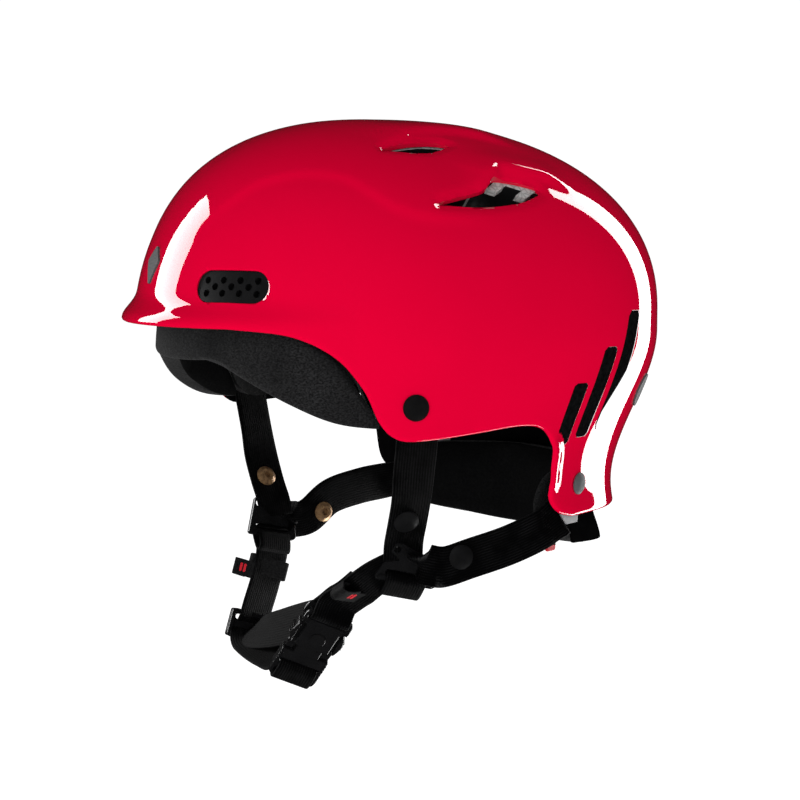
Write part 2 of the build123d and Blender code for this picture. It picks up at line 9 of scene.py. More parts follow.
import bmesh
import bpy
import numpy as np
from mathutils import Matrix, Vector


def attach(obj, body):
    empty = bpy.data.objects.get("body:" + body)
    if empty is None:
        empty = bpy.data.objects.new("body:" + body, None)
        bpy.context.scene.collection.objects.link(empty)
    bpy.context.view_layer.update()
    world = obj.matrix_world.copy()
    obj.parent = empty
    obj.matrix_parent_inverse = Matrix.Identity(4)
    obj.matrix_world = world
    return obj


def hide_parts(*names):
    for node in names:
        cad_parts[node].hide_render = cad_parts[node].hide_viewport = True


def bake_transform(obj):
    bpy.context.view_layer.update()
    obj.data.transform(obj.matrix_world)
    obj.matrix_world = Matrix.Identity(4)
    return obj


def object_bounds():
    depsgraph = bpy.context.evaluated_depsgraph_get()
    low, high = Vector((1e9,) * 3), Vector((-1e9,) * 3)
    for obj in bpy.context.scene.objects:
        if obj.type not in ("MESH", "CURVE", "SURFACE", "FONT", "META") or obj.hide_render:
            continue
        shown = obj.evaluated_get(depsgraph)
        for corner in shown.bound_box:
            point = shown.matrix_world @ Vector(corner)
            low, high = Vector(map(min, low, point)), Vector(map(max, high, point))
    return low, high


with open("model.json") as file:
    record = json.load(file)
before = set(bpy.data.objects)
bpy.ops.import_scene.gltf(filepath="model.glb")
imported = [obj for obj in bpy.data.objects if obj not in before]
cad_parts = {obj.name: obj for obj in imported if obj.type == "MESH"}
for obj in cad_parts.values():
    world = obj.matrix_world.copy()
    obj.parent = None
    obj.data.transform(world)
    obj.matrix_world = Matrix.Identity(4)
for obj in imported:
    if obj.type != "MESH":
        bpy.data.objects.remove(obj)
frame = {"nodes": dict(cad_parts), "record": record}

cad_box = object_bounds()
MM = 0.001
SIDES = ((1, "left"), (-1, "right"))

# ---------------------------------------------------------------- sizes shared with the CAD model
HALF_WIDTH, FRONT_REACH, REAR_REACH, CROWN = 111.0, 121.7, 145.7, 97.5
EQUATOR_Z = (-25.5, -15.6, 7.3)
PLAN_POWER = (2.0, 2.55)
DOME_POWER = (2.5, 2.0, 2.2)
NAPE_TUCK, TUCK_TOP, TUCK_DEPTH, TUCK_TURN, TUCK_FADE = 0.158, -8.0, 77.0, 70, 60
FOOT_FLARE, FOOT_TOP, FOOT_DEPTH = 0.012, -85, 13
BRIM_FLARE, BRIM_TURN, BRIM_RISE = 6.5, 64.0, 14.0
WALL = 3.5
WEBBING, WEBBING_T = 20.0, 1.5
GRILLE = (32.6, 17.6)
GRILLE_LENGTH, GRILLE_HEIGHT = 39.0, 15.0
BUCKLE_CENTRE = np.array((29.5, -47.0, -161.0))
BUCKLE_ALONG = np.array((0.6192, 0.1999, 0.7594))
BUCKLE_FACE = np.array((0.7623, -0.3851, -0.5202))
BUCKLE_ACROSS = np.cross(BUCKLE_FACE, BUCKLE_ALONG)


# ---------------------------------------------------------------- the dome and other shared maths
def smooth(share):
    """A share from 0 to 1 eased in and out."""
    share = np.clip(share, 0, 1)
    return share * share * (3 - 2 * share)


def unit(vector):
    """The vector, or each of a stack of vectors, at length 1."""
    vector = np.asarray(vector, float)
    return vector / np.maximum(np.linalg.norm(vector, axis=-1, keepdims=True), 1e-9)


def dome(turn, z, inset=0.0):
    """Points of the shell's ideal face, sunk by inset; turn is in degrees from the face to +X."""
    turn, z = np.broadcast_arrays(np.asarray(turn, float), np.asarray(z, float))
    ahead, aside = np.cos(np.radians(turn)), np.sin(np.radians(turn))
    to_front, to_rear = np.clip(ahead, 0, None) ** 2, np.clip(-ahead, 0, None) ** 2
    fullest = EQUATOR_Z[1] + (EQUATOR_Z[0] - EQUATOR_Z[1]) * to_front
    fullest = fullest + (EQUATOR_Z[2] - EQUATOR_Z[1]) * to_rear
    power = DOME_POWER[1] + (DOME_POWER[0] - DOME_POWER[1]) * to_front
    power = power + (DOME_POWER[2] - DOME_POWER[1]) * to_rear
    plan = np.where(ahead > 0, PLAN_POWER[0], PLAN_POWER[1])
    height = np.clip((z - fullest) / (CROWN - inset - fullest), 0, 1)
    shrink = (1 - height**power) ** (1 / power)
    off_front = np.abs(np.degrees(np.arctan2(aside, ahead)))
    drawn_in = NAPE_TUCK * smooth((TUCK_TOP - z) / TUCK_DEPTH)
    drawn_in = drawn_in - FOOT_FLARE * np.clip((FOOT_TOP - z) / FOOT_DEPTH, 0, 1.5) ** 2
    shrink = shrink * (1 - smooth((off_front - TUCK_TURN) / TUCK_FADE) * drawn_in)
    reach = np.where(ahead > 0, FRONT_REACH, REAR_REACH)
    x = (HALF_WIDTH - inset) * np.sign(aside) * np.abs(aside) ** (2 / plan) * shrink
    y = -(reach - inset) * np.sign(ahead) * np.abs(ahead) ** (2 / plan) * shrink
    fade = np.clip(np.cos(np.radians(90 * np.minimum(off_front / BRIM_TURN, 1))), 0, None)
    flare = BRIM_FLARE * fade * smooth((BRIM_RISE - z) / BRIM_RISE) ** 1.5
    return np.stack([x + flare * 0.9 * aside, y - flare * ahead, z], axis=-1)


def turn_at(y, z, inset=0.0):
    """The turn, 0 to 180, at which the dome passes through that y at that height."""
    low, high = np.zeros_like(y, dtype=float), np.full_like(y, 180.0, dtype=float)
    for _ in range(40):
        middle = (low + high) / 2
        behind = dome(middle, z, inset)[..., 1] < y
        low, high = np.where(behind, middle, low), np.where(behind, high, middle)
    return (low + high) / 2


def face_frame(turn, z, side=1, inset=0.0):
    """Origin and level, upright and outward directions where the dome is touched."""
    here = dome(turn, z, inset)
    level = unit(dome(turn + 2, z, inset) - dome(turn - 2, z, inset))
    upright = unit(dome(turn, z + 2, inset) - dome(turn, z - 2, inset))
    outward = unit(np.cross(level, upright))
    upright = np.cross(outward, level)
    flip = np.array((side, 1, 1))
    return here * flip, level * flip, upright * flip, outward * flip


def curve_through(points, step=1.0, closed=False):
    """Evenly spaced points on a smooth curve through the given ones."""
    points = np.asarray(points, float)
    if closed:
        ring = np.vstack([points[-1:], points, points[:2]])
    else:
        ring = np.vstack([2 * points[0] - points[1], points, 2 * points[-1] - points[-2]])
    fine = []
    share = np.linspace(0, 1, 24, endpoint=False)[:, None]
    for a, b, c, d in zip(ring, ring[1:], ring[2:], ring[3:]):
        tangent_b, tangent_c = (c - a) / 2, (d - b) / 2
        fine.append(
            b * (2 * share**3 - 3 * share**2 + 1) + tangent_b * (share**3 - 2 * share**2 + share)
            + c * (-2 * share**3 + 3 * share**2) + tangent_c * (share**3 - share**2)
        )
    fine = np.vstack(fine + [ring[-2:-1]])
    return evenly(fine, step, closed)


def run_along(points):
    """Distance from a polyline's start to each of its points."""
    return np.concatenate([[0], np.cumsum(np.linalg.norm(np.diff(points, axis=0), axis=1))])


def evenly(points, step, closed=False):
    """A polyline cut again into equal steps."""
    along = run_along(points)
    count = max(int(round(along[-1] / step)), 2)
    marks = np.linspace(0, along[-1], count + 1)
    if closed:
        marks = marks[:-1]
    return np.stack([np.interp(marks, along, points[:, axis]) for axis in range(points.shape[1])], 1)


# ---------------------------------------------------------------- mesh helpers
def make_object(name, points, faces, uvs=None, shade_smooth=True):
    """A mesh object from millimetre points; uvs are per vertex, in metres."""
    mesh = bpy.data.meshes.new(name)
    mesh.from_pydata((np.asarray(points) * MM).tolist(), [], [tuple(map(int, f)) for f in faces])
    mesh.validate()
    if uvs is not None:
        layer = mesh.uv_layers.new(name="cloth")
        for loop in mesh.loops:
            layer.data[loop.index].uv = uvs[loop.vertex_index]
    if shade_smooth:
        smooth_shading(mesh)
    piece = bpy.data.objects.new(name, mesh)
    bpy.context.scene.collection.objects.link(piece)
    return piece


def smooth_shading(mesh):
    mesh.polygons.foreach_set("use_smooth", [True] * len(mesh.polygons))


def fix_normals(piece):
    mesh = bmesh.new()
    mesh.from_mesh(piece.data)
    bmesh.ops.recalc_face_normals(mesh, faces=mesh.faces)
    mesh.to_mesh(piece.data)
    mesh.free()


def settle(piece):
    """Applies the piece's modifiers to its mesh."""
    graph = bpy.context.evaluated_depsgraph_get()
    mesh = bpy.data.meshes.new_from_object(piece.evaluated_get(graph))
    piece.modifiers.clear()
    piece.data = mesh


def modifier(piece, kind, **settings):
    """Adds a modifier with those settings."""
    added = piece.modifiers.new(kind.lower(), kind)
    for key, value in settings.items():
        setattr(added, key, value)
    return added


def soften(piece, width, angle):
    """Rounds edges that turn by more than angle (radians) to width (mm)."""
    modifier(piece, "BEVEL", width=width * MM, segments=2, limit_method="ANGLE", angle_limit=angle)
    modifier(piece, "WEIGHTED_NORMAL", keep_sharp=True)


def cut(piece, cutter):
    """Takes the cutter out of the piece."""
    modifier(piece, "BOOLEAN", object=cutter, operation="DIFFERENCE", solver="EXACT")
    settle(piece)
    bpy.data.objects.remove(cutter)


def grid_faces(rows, columns, close_columns=False):
    """Quads over a grid of points numbered row by row."""
    faces = []
    span = columns if close_columns else columns - 1
    for row in range(rows - 1):
        for column in range(span):
            after = (column + 1) % columns
            faces.append((row * columns + column, row * columns + after,
                          (row + 1) * columns + after, (row + 1) * columns + column))
    return faces


def tube_faces(rows, around):
    """The faces of a tube of points numbered ring by ring, with a cap at each end."""
    caps = [tuple(range(around)), tuple(range((rows - 1) * around, rows * around))[::-1]]
    return grid_faces(rows, around, close_columns=True) + caps


def fan_faces(first, around, pole):
    """Triangles from a ring of points, numbered from first, to a pole."""
    return [(first + step, pole, first + (step + 1) % around) for step in range(around)]


def prism(name, outline, origin, level, upright, outward, depth_out, depth_in):
    """Closed block whose outline lies square to outward."""
    flat = [origin + level * u + upright * v for u, v in outline]
    count = len(flat)
    points = [p + outward * depth_out for p in flat] + [p - outward * depth_in for p in flat]
    faces = [tuple(range(count)), tuple(range(2 * count - 1, count - 1, -1))]
    for index in range(count):
        after = (index + 1) % count
        faces.append((index, index + count, after + count, after))
    block = make_object(name, points, faces, shade_smooth=False)
    fix_normals(block)
    return block


# ---------------------------------------------------------------- materials
FOAM_BLACK_TOP = 0.040  # height below which the foam is black, in metres
WEAVE_PITCH = 0.0013  # of the webbing, in metres


def material(name, colour, roughness, metallic=0.0, **sockets):
    """A principled material; sockets are set on the shader by their own names, _ for a space."""
    made = bpy.data.materials.new(name)
    made.use_nodes = True
    shader = made.node_tree.nodes["Principled BSDF"]
    shader.inputs["Base Color"].default_value = (*colour, 1)
    shader.inputs["Roughness"].default_value = roughness
    shader.inputs["Metallic"].default_value = metallic
    for key, value in sockets.items():
        shader.inputs[key.replace("_", " ")].default_value = value
    return made


class Nodes:
    """Short names for the nodes that the materials share."""

    def __init__(self, made):
        self.tree = made.node_tree
        self.shader = self.tree.nodes.get("Principled BSDF")

    def add(self, kind, inputs=(), **settings):
        """A new node; inputs gives what its sockets are fed, by name or number."""
        node = self.tree.nodes.new(kind)
        for key, value in settings.items():
            setattr(node, key, value)
        for key, value in dict(inputs).items():
            self.feed(node.inputs[key], value)
        return node

    def link(self, source, target):
        self.tree.links.new(source, target)

    def feed(self, socket, value):
        """Sets a socket to a number or a colour, or links another node's output to it."""
        if isinstance(value, (int, float)):
            socket.default_value = value
        elif isinstance(value, tuple):
            socket.default_value = (*value, 1)
        else:
            self.link(value, socket)

    def place(self, uv=False):
        """Object or cloth coordinates, in metres."""
        return self.add("ShaderNodeTexCoord").outputs["UV" if uv else "Object"]

    def scaled(self, source, scale):
        mapping = self.add("ShaderNodeMapping", {"Vector": source})
        mapping.inputs["Scale"].default_value = scale
        return mapping.outputs["Vector"]

    def noise(self, source, scale, detail=2.0, roughness=0.5):
        node = self.add("ShaderNodeTexNoise", {"Vector": source, "Scale": scale, "Detail": detail,
                                               "Roughness": roughness})
        return node.outputs["Fac"]

    def math(self, operation, first, second=0.5):
        node = self.add("ShaderNodeMath", {0: first, 1: second}, operation=operation)
        return node.outputs[0]

    def spread(self, source, low_in, high_in, low_out=0, high_out=1):
        """The source's range from low_in to high_in, stretched to low_out to high_out."""
        node = self.add("ShaderNodeMapRange", {"Value": source, "From Min": low_in,
                                               "From Max": high_in, "To Min": low_out,
                                               "To Max": high_out})
        return node.outputs["Result"]

    def mix(self, share, first, second):
        node = self.add("ShaderNodeMix", {"Factor": share, 6: first, 7: second}, data_type="RGBA")
        return node.outputs[2]

    def colour(self, share, first, second):
        """Base colour running from first to second."""
        self.link(self.mix(share, first, second), self.shader.inputs["Base Color"])

    def rough(self, source, *ranges, socket="Roughness"):
        """Roughness, or another socket, that follows source; ranges are as for spread."""
        self.link(self.spread(source, *ranges), self.shader.inputs[socket])

    def bump(self, height, strength, distance):
        node = self.add("ShaderNodeBump", {"Height": height, "Strength": strength,
                                           "Distance": distance})
        self.link(node.outputs["Normal"], self.shader.inputs["Normal"])


def red_shell_material():
    """Glossy moulded shell: deep red under a hard clear coat, with faint colour depth and wear."""
    made = material("red_shell", (0.72, 0.0, 0.03), 0.8, Coat_Weight=1.0, Coat_Roughness=0.012,
                    Coat_IOR=1.5, Specular_IOR_Level=0.0)
    n = Nodes(made)
    place = n.place()
    cloud = n.noise(place, 9.0, 3.0)
    n.colour(n.spread(cloud, 0.3, 0.7), (0.70, 0.0, 0.030), (0.76, 0.0, 0.034))
    scuff = n.noise(n.scaled(place, (60, 60, 400)), 1.0, 4.0, 0.7)
    n.rough(scuff, 0.35, 0.8, 0.008, 0.03, socket="Coat Roughness")
    n.bump(n.noise(place, 40.0, 1.0), 0.012, 0.0004)
    return made


def moulded_plastic(name, colour, light, roughness=0.42, grain=900.0, sheen=0.22):
    """Satin moulded nylon with a fine spark-eroded grain and paler rubbed patches."""
    made = material(name, colour, roughness, Specular_IOR_Level=sheen)
    n = Nodes(made)
    place = n.place()
    rubbed = n.noise(place, 70.0, 4.0, 0.65)
    n.colour(n.spread(rubbed, 0.42, 0.75), colour, light)
    n.rough(rubbed, 0.3, 0.75, roughness + 0.08, roughness - 0.1)
    n.bump(n.noise(place, grain, 2.0), 0.18, 0.0002)
    return made


def pad_fabric_material():
    """Brushed knit laminated on foam: dark fibres, slightly paler fuzz and a fine stitch grain."""
    made = material("pad_fabric", (0.012, 0.012, 0.0125), 0.92, Sheen_Weight=0.04,
                    Sheen_Roughness=0.5, Specular_IOR_Level=0.08)
    n = Nodes(made)
    place = n.place()
    knit = n.noise(n.scaled(place, (1.0, 1.0, 1.6)), 950.0, 2.0, 0.6)
    patch = n.noise(place, 45.0, 3.0)
    fuzz = n.math("MULTIPLY", n.spread(knit, 0.35, 0.7), n.spread(patch, 0.3, 0.7, 0.45, 1))
    n.colour(fuzz, (0.004, 0.004, 0.0042), (0.026, 0.026, 0.027))
    n.bump(knit, 0.6, 0.0005)
    return made


def shaded_pad_fabric_material():
    """Darker copy of the pad fabric for the pads' inner faces: painted shade."""
    made = material("pad_fabric_painted_shade", (0.003, 0.003, 0.0031), 0.95, Specular_IOR_Level=0.03)
    n = Nodes(made)
    knit = n.noise(n.place(), 700.0, 2.0, 0.6)
    n.colour(knit, (0.0012, 0.0012, 0.0013), (0.005, 0.005, 0.0052))
    n.bump(knit, 0.4, 0.0004)
    return made


def foam_material():
    """Moulded foam beads: a net of fused bead edges in pale grey, black below a set height."""
    made = material("grey_foam", (0.42, 0.42, 0.41), 0.75)
    n = Nodes(made)
    place = n.place()
    beads = n.add("ShaderNodeTexVoronoi", {"Vector": place, "Scale": 330.0},
                  feature="DISTANCE_TO_EDGE")
    edge = n.spread(beads.outputs["Distance"], 0.0, 0.12)
    shade = n.noise(place, 160.0, 2.0)
    tone = n.math("MULTIPLY", edge, n.spread(shade, 0.3, 0.7, 0.75, 1.0))
    grey = n.mix(tone, (0.26, 0.26, 0.255), (0.5, 0.5, 0.49))
    parts = n.add("ShaderNodeSeparateXYZ", {"Vector": place})
    above_black_band = n.spread(parts.outputs["Z"], FOAM_BLACK_TOP - 0.004, FOAM_BLACK_TOP)
    n.colour(above_black_band, (0.004, 0.004, 0.0042), grey)
    n.bump(edge, 0.35, 0.0004)
    return made


def webbing_material():
    """Woven webbing on cloth coordinates: u runs along the strap and v across it."""
    dark, light = (0.0008, 0.0008, 0.0009), (0.016, 0.016, 0.017)
    made = material("webbing", dark, 0.7, Specular_IOR_Level=0.1)
    n = Nodes(made)
    parts = n.add("ShaderNodeSeparateXYZ", {"Vector": n.place(uv=True)})
    turn = 2 * math.pi / WEAVE_PITCH
    along = n.math("MULTIPLY", parts.outputs["X"], turn)
    yarn = n.math("MULTIPLY", parts.outputs["Y"], turn * 0.5)
    both = n.math("MULTIPLY", n.math("SINE", along, 0), n.math("SINE", yarn, 0))
    weave = n.math("ABSOLUTE", both, 0)
    worn = n.noise(n.place(), 110.0, 3.0)
    tone = n.math("MULTIPLY", n.spread(weave, 0.55, 1.0), n.spread(worn, 0.4, 0.7, 0.12, 1.0))
    n.colour(tone, dark, light)
    n.bump(weave, 0.5, 0.0005)
    return made


def elastic_material():
    """Knitted elastic: fine ribs with a soft fuzz."""
    made = material("keeper_elastic", (0.008, 0.008, 0.0085), 0.8, Specular_IOR_Level=0.12)
    n = Nodes(made)
    ribs = n.noise(n.scaled(n.place(), (1.0, 1.0, 3.0)), 900.0, 2.0, 0.6)
    n.colour(n.spread(ribs, 0.35, 0.7), (0.003, 0.003, 0.0032), (0.014, 0.014, 0.0145))
    n.bump(ribs, 0.5, 0.0004)
    return made


def brushed_badge_material():
    """Dark badge with fine lines brushed along it."""
    made = material("badge_metal", (0.08, 0.08, 0.083), 0.6, Specular_IOR_Level=0.08)
    n = Nodes(made)
    lines = n.noise(n.scaled(n.place(), (1, 1, 30)), 260.0, 3.0, 0.6)
    n.rough(lines, 0.3, 0.7, 0.52, 0.68)
    n.colour(n.spread(lines, 0.3, 0.7), (0.035, 0.036, 0.038), (0.13, 0.132, 0.135))
    n.bump(lines, 0.1, 0.0001)
    return made


def brass_material():
    """Brass of the studs, tarnished in patches."""
    made = material("brass", (0.66, 0.44, 0.2), 0.3, 0.65)
    n = Nodes(made)
    tarnish = n.noise(n.place(), 420.0, 4.0, 0.6)
    n.colour(n.spread(tarnish, 0.4, 0.75), (0.42, 0.25, 0.12), (0.10, 0.055, 0.03))
    n.rough(tarnish, 0.3, 0.75, 0.26, 0.42)
    n.bump(tarnish, 0.08, 0.0001)
    return made


def film_material():
    """Black printed film under the shell's clear coat."""
    made = material("black_film", (0.004, 0.004, 0.0043), 0.8, Coat_Weight=1.0,
                    Coat_Roughness=0.012, Specular_IOR_Level=0.0)
    n = Nodes(made)
    ink = n.noise(n.place(), 500.0, 3.0)
    n.colour(n.spread(ink, 0.35, 0.7), (0.002, 0.002, 0.0022), (0.006, 0.006, 0.0063))
    n.bump(n.noise(n.place(), 60.0, 1.0), 0.012, 0.0004)
    return made


pad_fabric, pad_fabric_painted_shade = pad_fabric_material(), shaded_pad_fabric_material()
gloss_plastic = moulded_plastic("gloss_plastic", (0.004, 0.004, 0.0043), (0.007, 0.007, 0.0074), 0.2,
                                grain=400.0, sheen=0.55)
# matt black plastic for the nape cradle; on the shell's inner face the same black is painted shade
matt_black_and_painted_shade = moulded_plastic("matt_black_and_painted_shade", (0.002, 0.002, 0.0022), (0.004, 0.004, 0.0042), 0.8,
                               sheen=0.0)
rivet_plastic = moulded_plastic("rivet_plastic", (0.07, 0.072, 0.075), (0.12, 0.122, 0.125), 0.5,
                                sheen=0.06)
SLOT_MATERIALS = {
    "red_shell": red_shell_material(),
    "grey_foam": foam_material(),
    "pad_fabric": pad_fabric,
    "black_plastic": moulded_plastic("black_plastic", (0.005, 0.005, 0.0053), (0.010, 0.010, 0.0105),
                                     0.42, sheen=0.14),
    "grey_plastic": moulded_plastic("grey_plastic", (0.30, 0.31, 0.315), (0.38, 0.385, 0.39), 0.45,
                                    sheen=0.1),
    "red_plastic": moulded_plastic("red_plastic", (0.55, 0.006, 0.02), (0.66, 0.03, 0.04), 0.4),
    "webbing": webbing_material(),
    "keeper_elastic": elastic_material(),
    "brass": brass_material(),
    "badge_metal": brushed_badge_material(),
    "black_film": film_material(),
}
HARD_SLOTS = ("black_plastic", "grey_plastic", "red_plastic", "brass", "badge_metal")


def finish_piece(piece, slot, *replaced, body="root", made=None):
    """The usual last steps: material from its slot, body, and the CAD nodes it stands for."""
    if not piece.data.materials:
        piece.data.materials.append(made or SLOT_MATERIALS[slot])
    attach(piece, body)
    if replaced:
        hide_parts(*replaced)


# carried-over CAD nodes take the detailed materials and softened edges
for entry in frame["record"]["subparts"]:
    node = frame["nodes"][entry["node"]]
    made = SLOT_MATERIALS[entry["material_slot"]]
    if "tail_rivet" in entry["node"]:
        made = rivet_plastic
    elif "nape_cradle" in entry["node"]:
        made = matt_black_and_painted_shade
    for slot_index in range(len(node.material_slots)):
        node.material_slots[slot_index].material = made
    if entry["material_slot"] in HARD_SLOTS:
        soften(node, 0.25, 0.7)


# ---------------------------------------------------------------- the shell
# the shell's lower edge on its left side, as (y, z), from the face to the nape
SHELL_EDGE = (
    (-104, 0), (-80, -3.5), (-62, -13.5), (-50, -28.5), (-43.5, -43), (-37.5, -49.8),
    (-28, -51.9), (0, -50), (28, -47.6), (42.5, -50), (50, -58), (50.5, -72),
    (52, -85), (58, -92), (68, -95),
)
RIM_COLUMNS, SKIN_ROWS = 190, 92
CURL_HEIGHT, CURL_WIDTH = 2.6, 9.5
GRILLE_PLAY = 0.25


def shell_rim():
    """(turn, z) round the left half of the shell's lower edge, evenly spaced, face to nape."""
    side = curve_through(SHELL_EDGE, 0.5)
    turns = turn_at(side[:, 0], side[:, 1])
    front = np.linspace(0, turns[0], 60, endpoint=False)
    rear = np.linspace(turns[-1], 180, 80)[1:]
    turn = np.concatenate([front, turns, rear])
    z = np.concatenate([np.full(len(front), side[0, 1]), side[:, 1], np.full(len(rear), side[-1, 1])])
    along = run_along(dome(turn, z))
    marks = np.linspace(0, along[-1], RIM_COLUMNS + 1)
    return np.interp(marks, along, turn), np.interp(marks, along, z)


# lines on the left half of the shell, as (turn, z): the raised deck's edge and the vents' hoods
DECK_EDGE = ((14, 34), (24, 53.6), (32, 64.4), (39.3, 67.6), (47, 69), (58.6, 66.7), (66.5, 60.6),
             (73.4, 53.7), (83.7, 48.6), (100, 45))
TOP_HOOD = ((71, 84), (80.7, 88.1), (92.7, 90.5), (113.9, 90.6), (127.1, 87.8), (135.5, 82.4))
SIDE_HOOD = ((95, 59), (101, 66), (106.5, 72.5), (114, 71), (121.5, 67.5), (129, 60))
SIDE_VENT = ((-34, -7), (-12, -9.5), (10, -8.5), (31, -1), (14, 7), (-2, 10), (-12, 3))
TOP_VENT = ((-19, -3), (-9, -5.5), (3, -6.5), (12, -3.5), (19, 2), (10, 4.5), (-5, 2.5))
SIDE_VENT_AT, TOP_VENT_AT = (99.5, 62.0), (89.0, 84.0)
VENTS = ((SIDE_VENT, SIDE_VENT_AT), (TOP_VENT, TOP_VENT_AT))
# the shell's side opening and the step of bare foam behind its upper corner
SIDE_OPENING = ((-31.3, -6.9), (-20.4, -9.0), (-4.1, -9.3), (16, -6.2), (28.7, 2.1), (6.5, 8.6),
                (-4.3, 0.6))
OPENINGS = ((SIDE_OPENING, SIDE_VENT_AT), (TOP_VENT, TOP_VENT_AT))
FOAM_STEP = ((1.0, 4.8), (9.9, 11.4), (32, 5.5), (20.3, -1.7), (15.4, 0.2), (20.2, 3.5),
             (12.5, 6.8), (5.8, 2.8))


def vent_ring(outline, side, step):
    """A vent's outline on either side, evenly stepped."""
    return curve_through([(u, v * side) for u, v in outline], step, closed=True) * (1, side)


def line_on_dome(turns_and_heights, step=1.5):
    """A smooth line on the left half of the dome."""
    pairs = np.array(turns_and_heights, float)
    return curve_through(dome(pairs[:, 0], pairs[:, 1]), step)


def near_line(points, normals, line):
    """Signed distance to a line on the dome, above it positive, and the share run along it."""
    gaps = points[:, None, :] - line[None, :, :]
    nearest = np.argmin((gaps**2).sum(-1), axis=1)
    after = np.clip(nearest + 1, 1, len(line) - 1)
    tangent = unit(line[after] - line[after - 1])
    upward = np.cross(normals, tangent)
    upward = upward * np.sign(upward[:, 2:3] + 1e-9)
    gap = points - line[nearest]
    distance = np.linalg.norm(gap, axis=1) * np.sign((gap * upward).sum(-1))
    return distance, nearest / (len(line) - 1)


def window(share, fade=0.18):
    """1 along a line, fading to 0 at both its ends."""
    return smooth(share / fade) * smooth((1 - share) / fade)


def relief(points, normals):
    """How far the left half of the shell's face stands proud of the ideal dome, in mm."""
    distance, share = near_line(points, normals, line_on_dome(DECK_EDGE))
    deck = 1.1 * smooth((distance + 3.5) / 7) * smooth(1 - distance / 60) * window(share, 0.25)
    hood = 0
    for line, above, below, height in ((TOP_HOOD, 16, 3.6, 2.4), (SIDE_HOOD, 13, 3.0, 2.8)):
        distance, share = near_line(points, normals, line_on_dome(line))
        reach = np.where(distance > 0, above, below)
        hood = hood + height * np.exp(-((distance / reach) ** 2)) * window(share, 0.3)
    sink = np.zeros(len(points))
    for outline, (turn, z) in OPENINGS:
        origin, level, upright, outward = face_frame(turn, z)
        ring = curve_through(outline, 1.0, closed=True)
        ring = origin + ring[:, :1] * level + ring[:, 1:] * upright
        flat = points - ((points - origin) @ outward)[:, None] * outward
        close = np.sqrt(((flat[:, None, :] - ring[None]) ** 2).sum(-1).min(1))
        same_side = np.linalg.norm(points - origin, axis=1) < 60
        sink = sink + np.where(same_side, 1.6 * smooth(1 - close / 5.0) ** 1.5, 0)
    return deck + hood - sink


def tail_curl(points):
    """Outward roll of the tail's front edge, in mm."""
    corner = np.array([(46, -54), (50.5, -64), (50.5, -76), (53, -87)], float)
    edge = curve_through(corner, 1.5)
    edge = dome(turn_at(edge[:, 0], edge[:, 1]), edge[:, 1])
    gaps = np.sqrt(((points[:, None, :] - edge[None]) ** 2).sum(-1))
    nearest = gaps.argmin(1) / (len(edge) - 1)
    roll = CURL_HEIGHT * smooth(1 - gaps.min(1) / CURL_WIDTH) ** 1.3
    return roll * smooth(nearest / 0.3) * smooth((1 - nearest) / 0.35)


def shell_skin():
    """Outer points of the left half: rows from the rim to just short of the crown."""
    rim_turn, rim_z = shell_rim()
    rise = np.linspace(0, 1, SKIN_ROWS + 1)[:-1, None]
    even = np.linspace(0, 180, RIM_COLUMNS + 1)[None, :]
    turn = rim_turn[None] + (even - rim_turn[None]) * (1 - (1 - rise) ** 2)
    z = rim_z[None] + (CROWN - rim_z[None]) * np.sin(rise * math.pi / 2)
    return dome(turn, z)


def grid_normals(points):
    """Outward normals of the left half's grid; the middle plane's lie in it."""
    whole = np.concatenate([points, (points * (-1, 1, 1))[:, -2:0:-1]], axis=1)
    across = np.roll(whole, -1, axis=1) - np.roll(whole, 1, axis=1)
    up = np.gradient(whole, axis=0)
    normals = unit(np.cross(across, up))[:, : points.shape[1]]
    outward = (normals * (points - (0, 0, -20))).sum(-1, keepdims=True)
    return normals * np.sign(outward)


def build_shell():
    """The shell as one closed skin: outer face, rounded lip and inner face, crown to crown."""
    skin = shell_skin()
    rows, columns = skin.shape[:2]
    normals = grid_normals(skin)
    flat, flat_normals = skin.reshape(-1, 3), normals.reshape(-1, 3)
    curl = tail_curl(flat).reshape(rows, columns, 1)
    raised = relief(flat, flat_normals).reshape(rows, columns, 1)
    outer = skin + normals * (curl + raised)
    inner = skin + normals * (curl - WALL)
    tangent = unit(np.gradient(outer[0], axis=0))
    away = unit(np.cross(tangent, normals[0]))
    away = away * -np.sign((away * (outer[1] - outer[0])).sum(-1, keepdims=True))
    middle = (outer[0] + inner[0]) / 2
    half = (outer[0] - inner[0]) / 2
    lip = []
    for angle in np.radians((30, 60, 90, 120, 150)):
        lip.append(middle + half * math.cos(angle) + away * math.sin(angle) * WALL * 0.45)
    profile = np.concatenate([outer[::-1], np.array(lip), inner], axis=0)
    whole = np.concatenate([profile, (profile * (-1, 1, 1))[:, -2:0:-1]], axis=1)
    levels, round_count = whole.shape[:2]
    points = list(whole.reshape(-1, 3))
    faces = grid_faces(levels, round_count, close_columns=True)
    for z, row in ((CROWN, 0), (CROWN - WALL, levels - 1)):
        faces += fan_faces(row * round_count, round_count, len(points))
        points.append(np.array((0, 0, z)))
    shell = make_object("shell_moulding", points, faces)
    fix_normals(shell)
    shell.data.materials.append(SLOT_MATERIALS["red_shell"])
    # the inner face and the inner half of the lip take matt black: painted shade inside the rim
    shell.data.materials.append(matt_black_and_painted_shade)
    count = len(shell.data.polygons)
    first_shaded_face, first_cap = (rows + 2) * round_count, (levels - 1) * round_count
    painted_shade_faces = [int(first_shaded_face <= index < first_cap or index >= count - round_count)
              for index in range(count)]
    shell.data.polygons.foreach_set("material_index", painted_shade_faces)
    cut_openings(shell)
    finish_piece(shell, "red_shell", "shell")


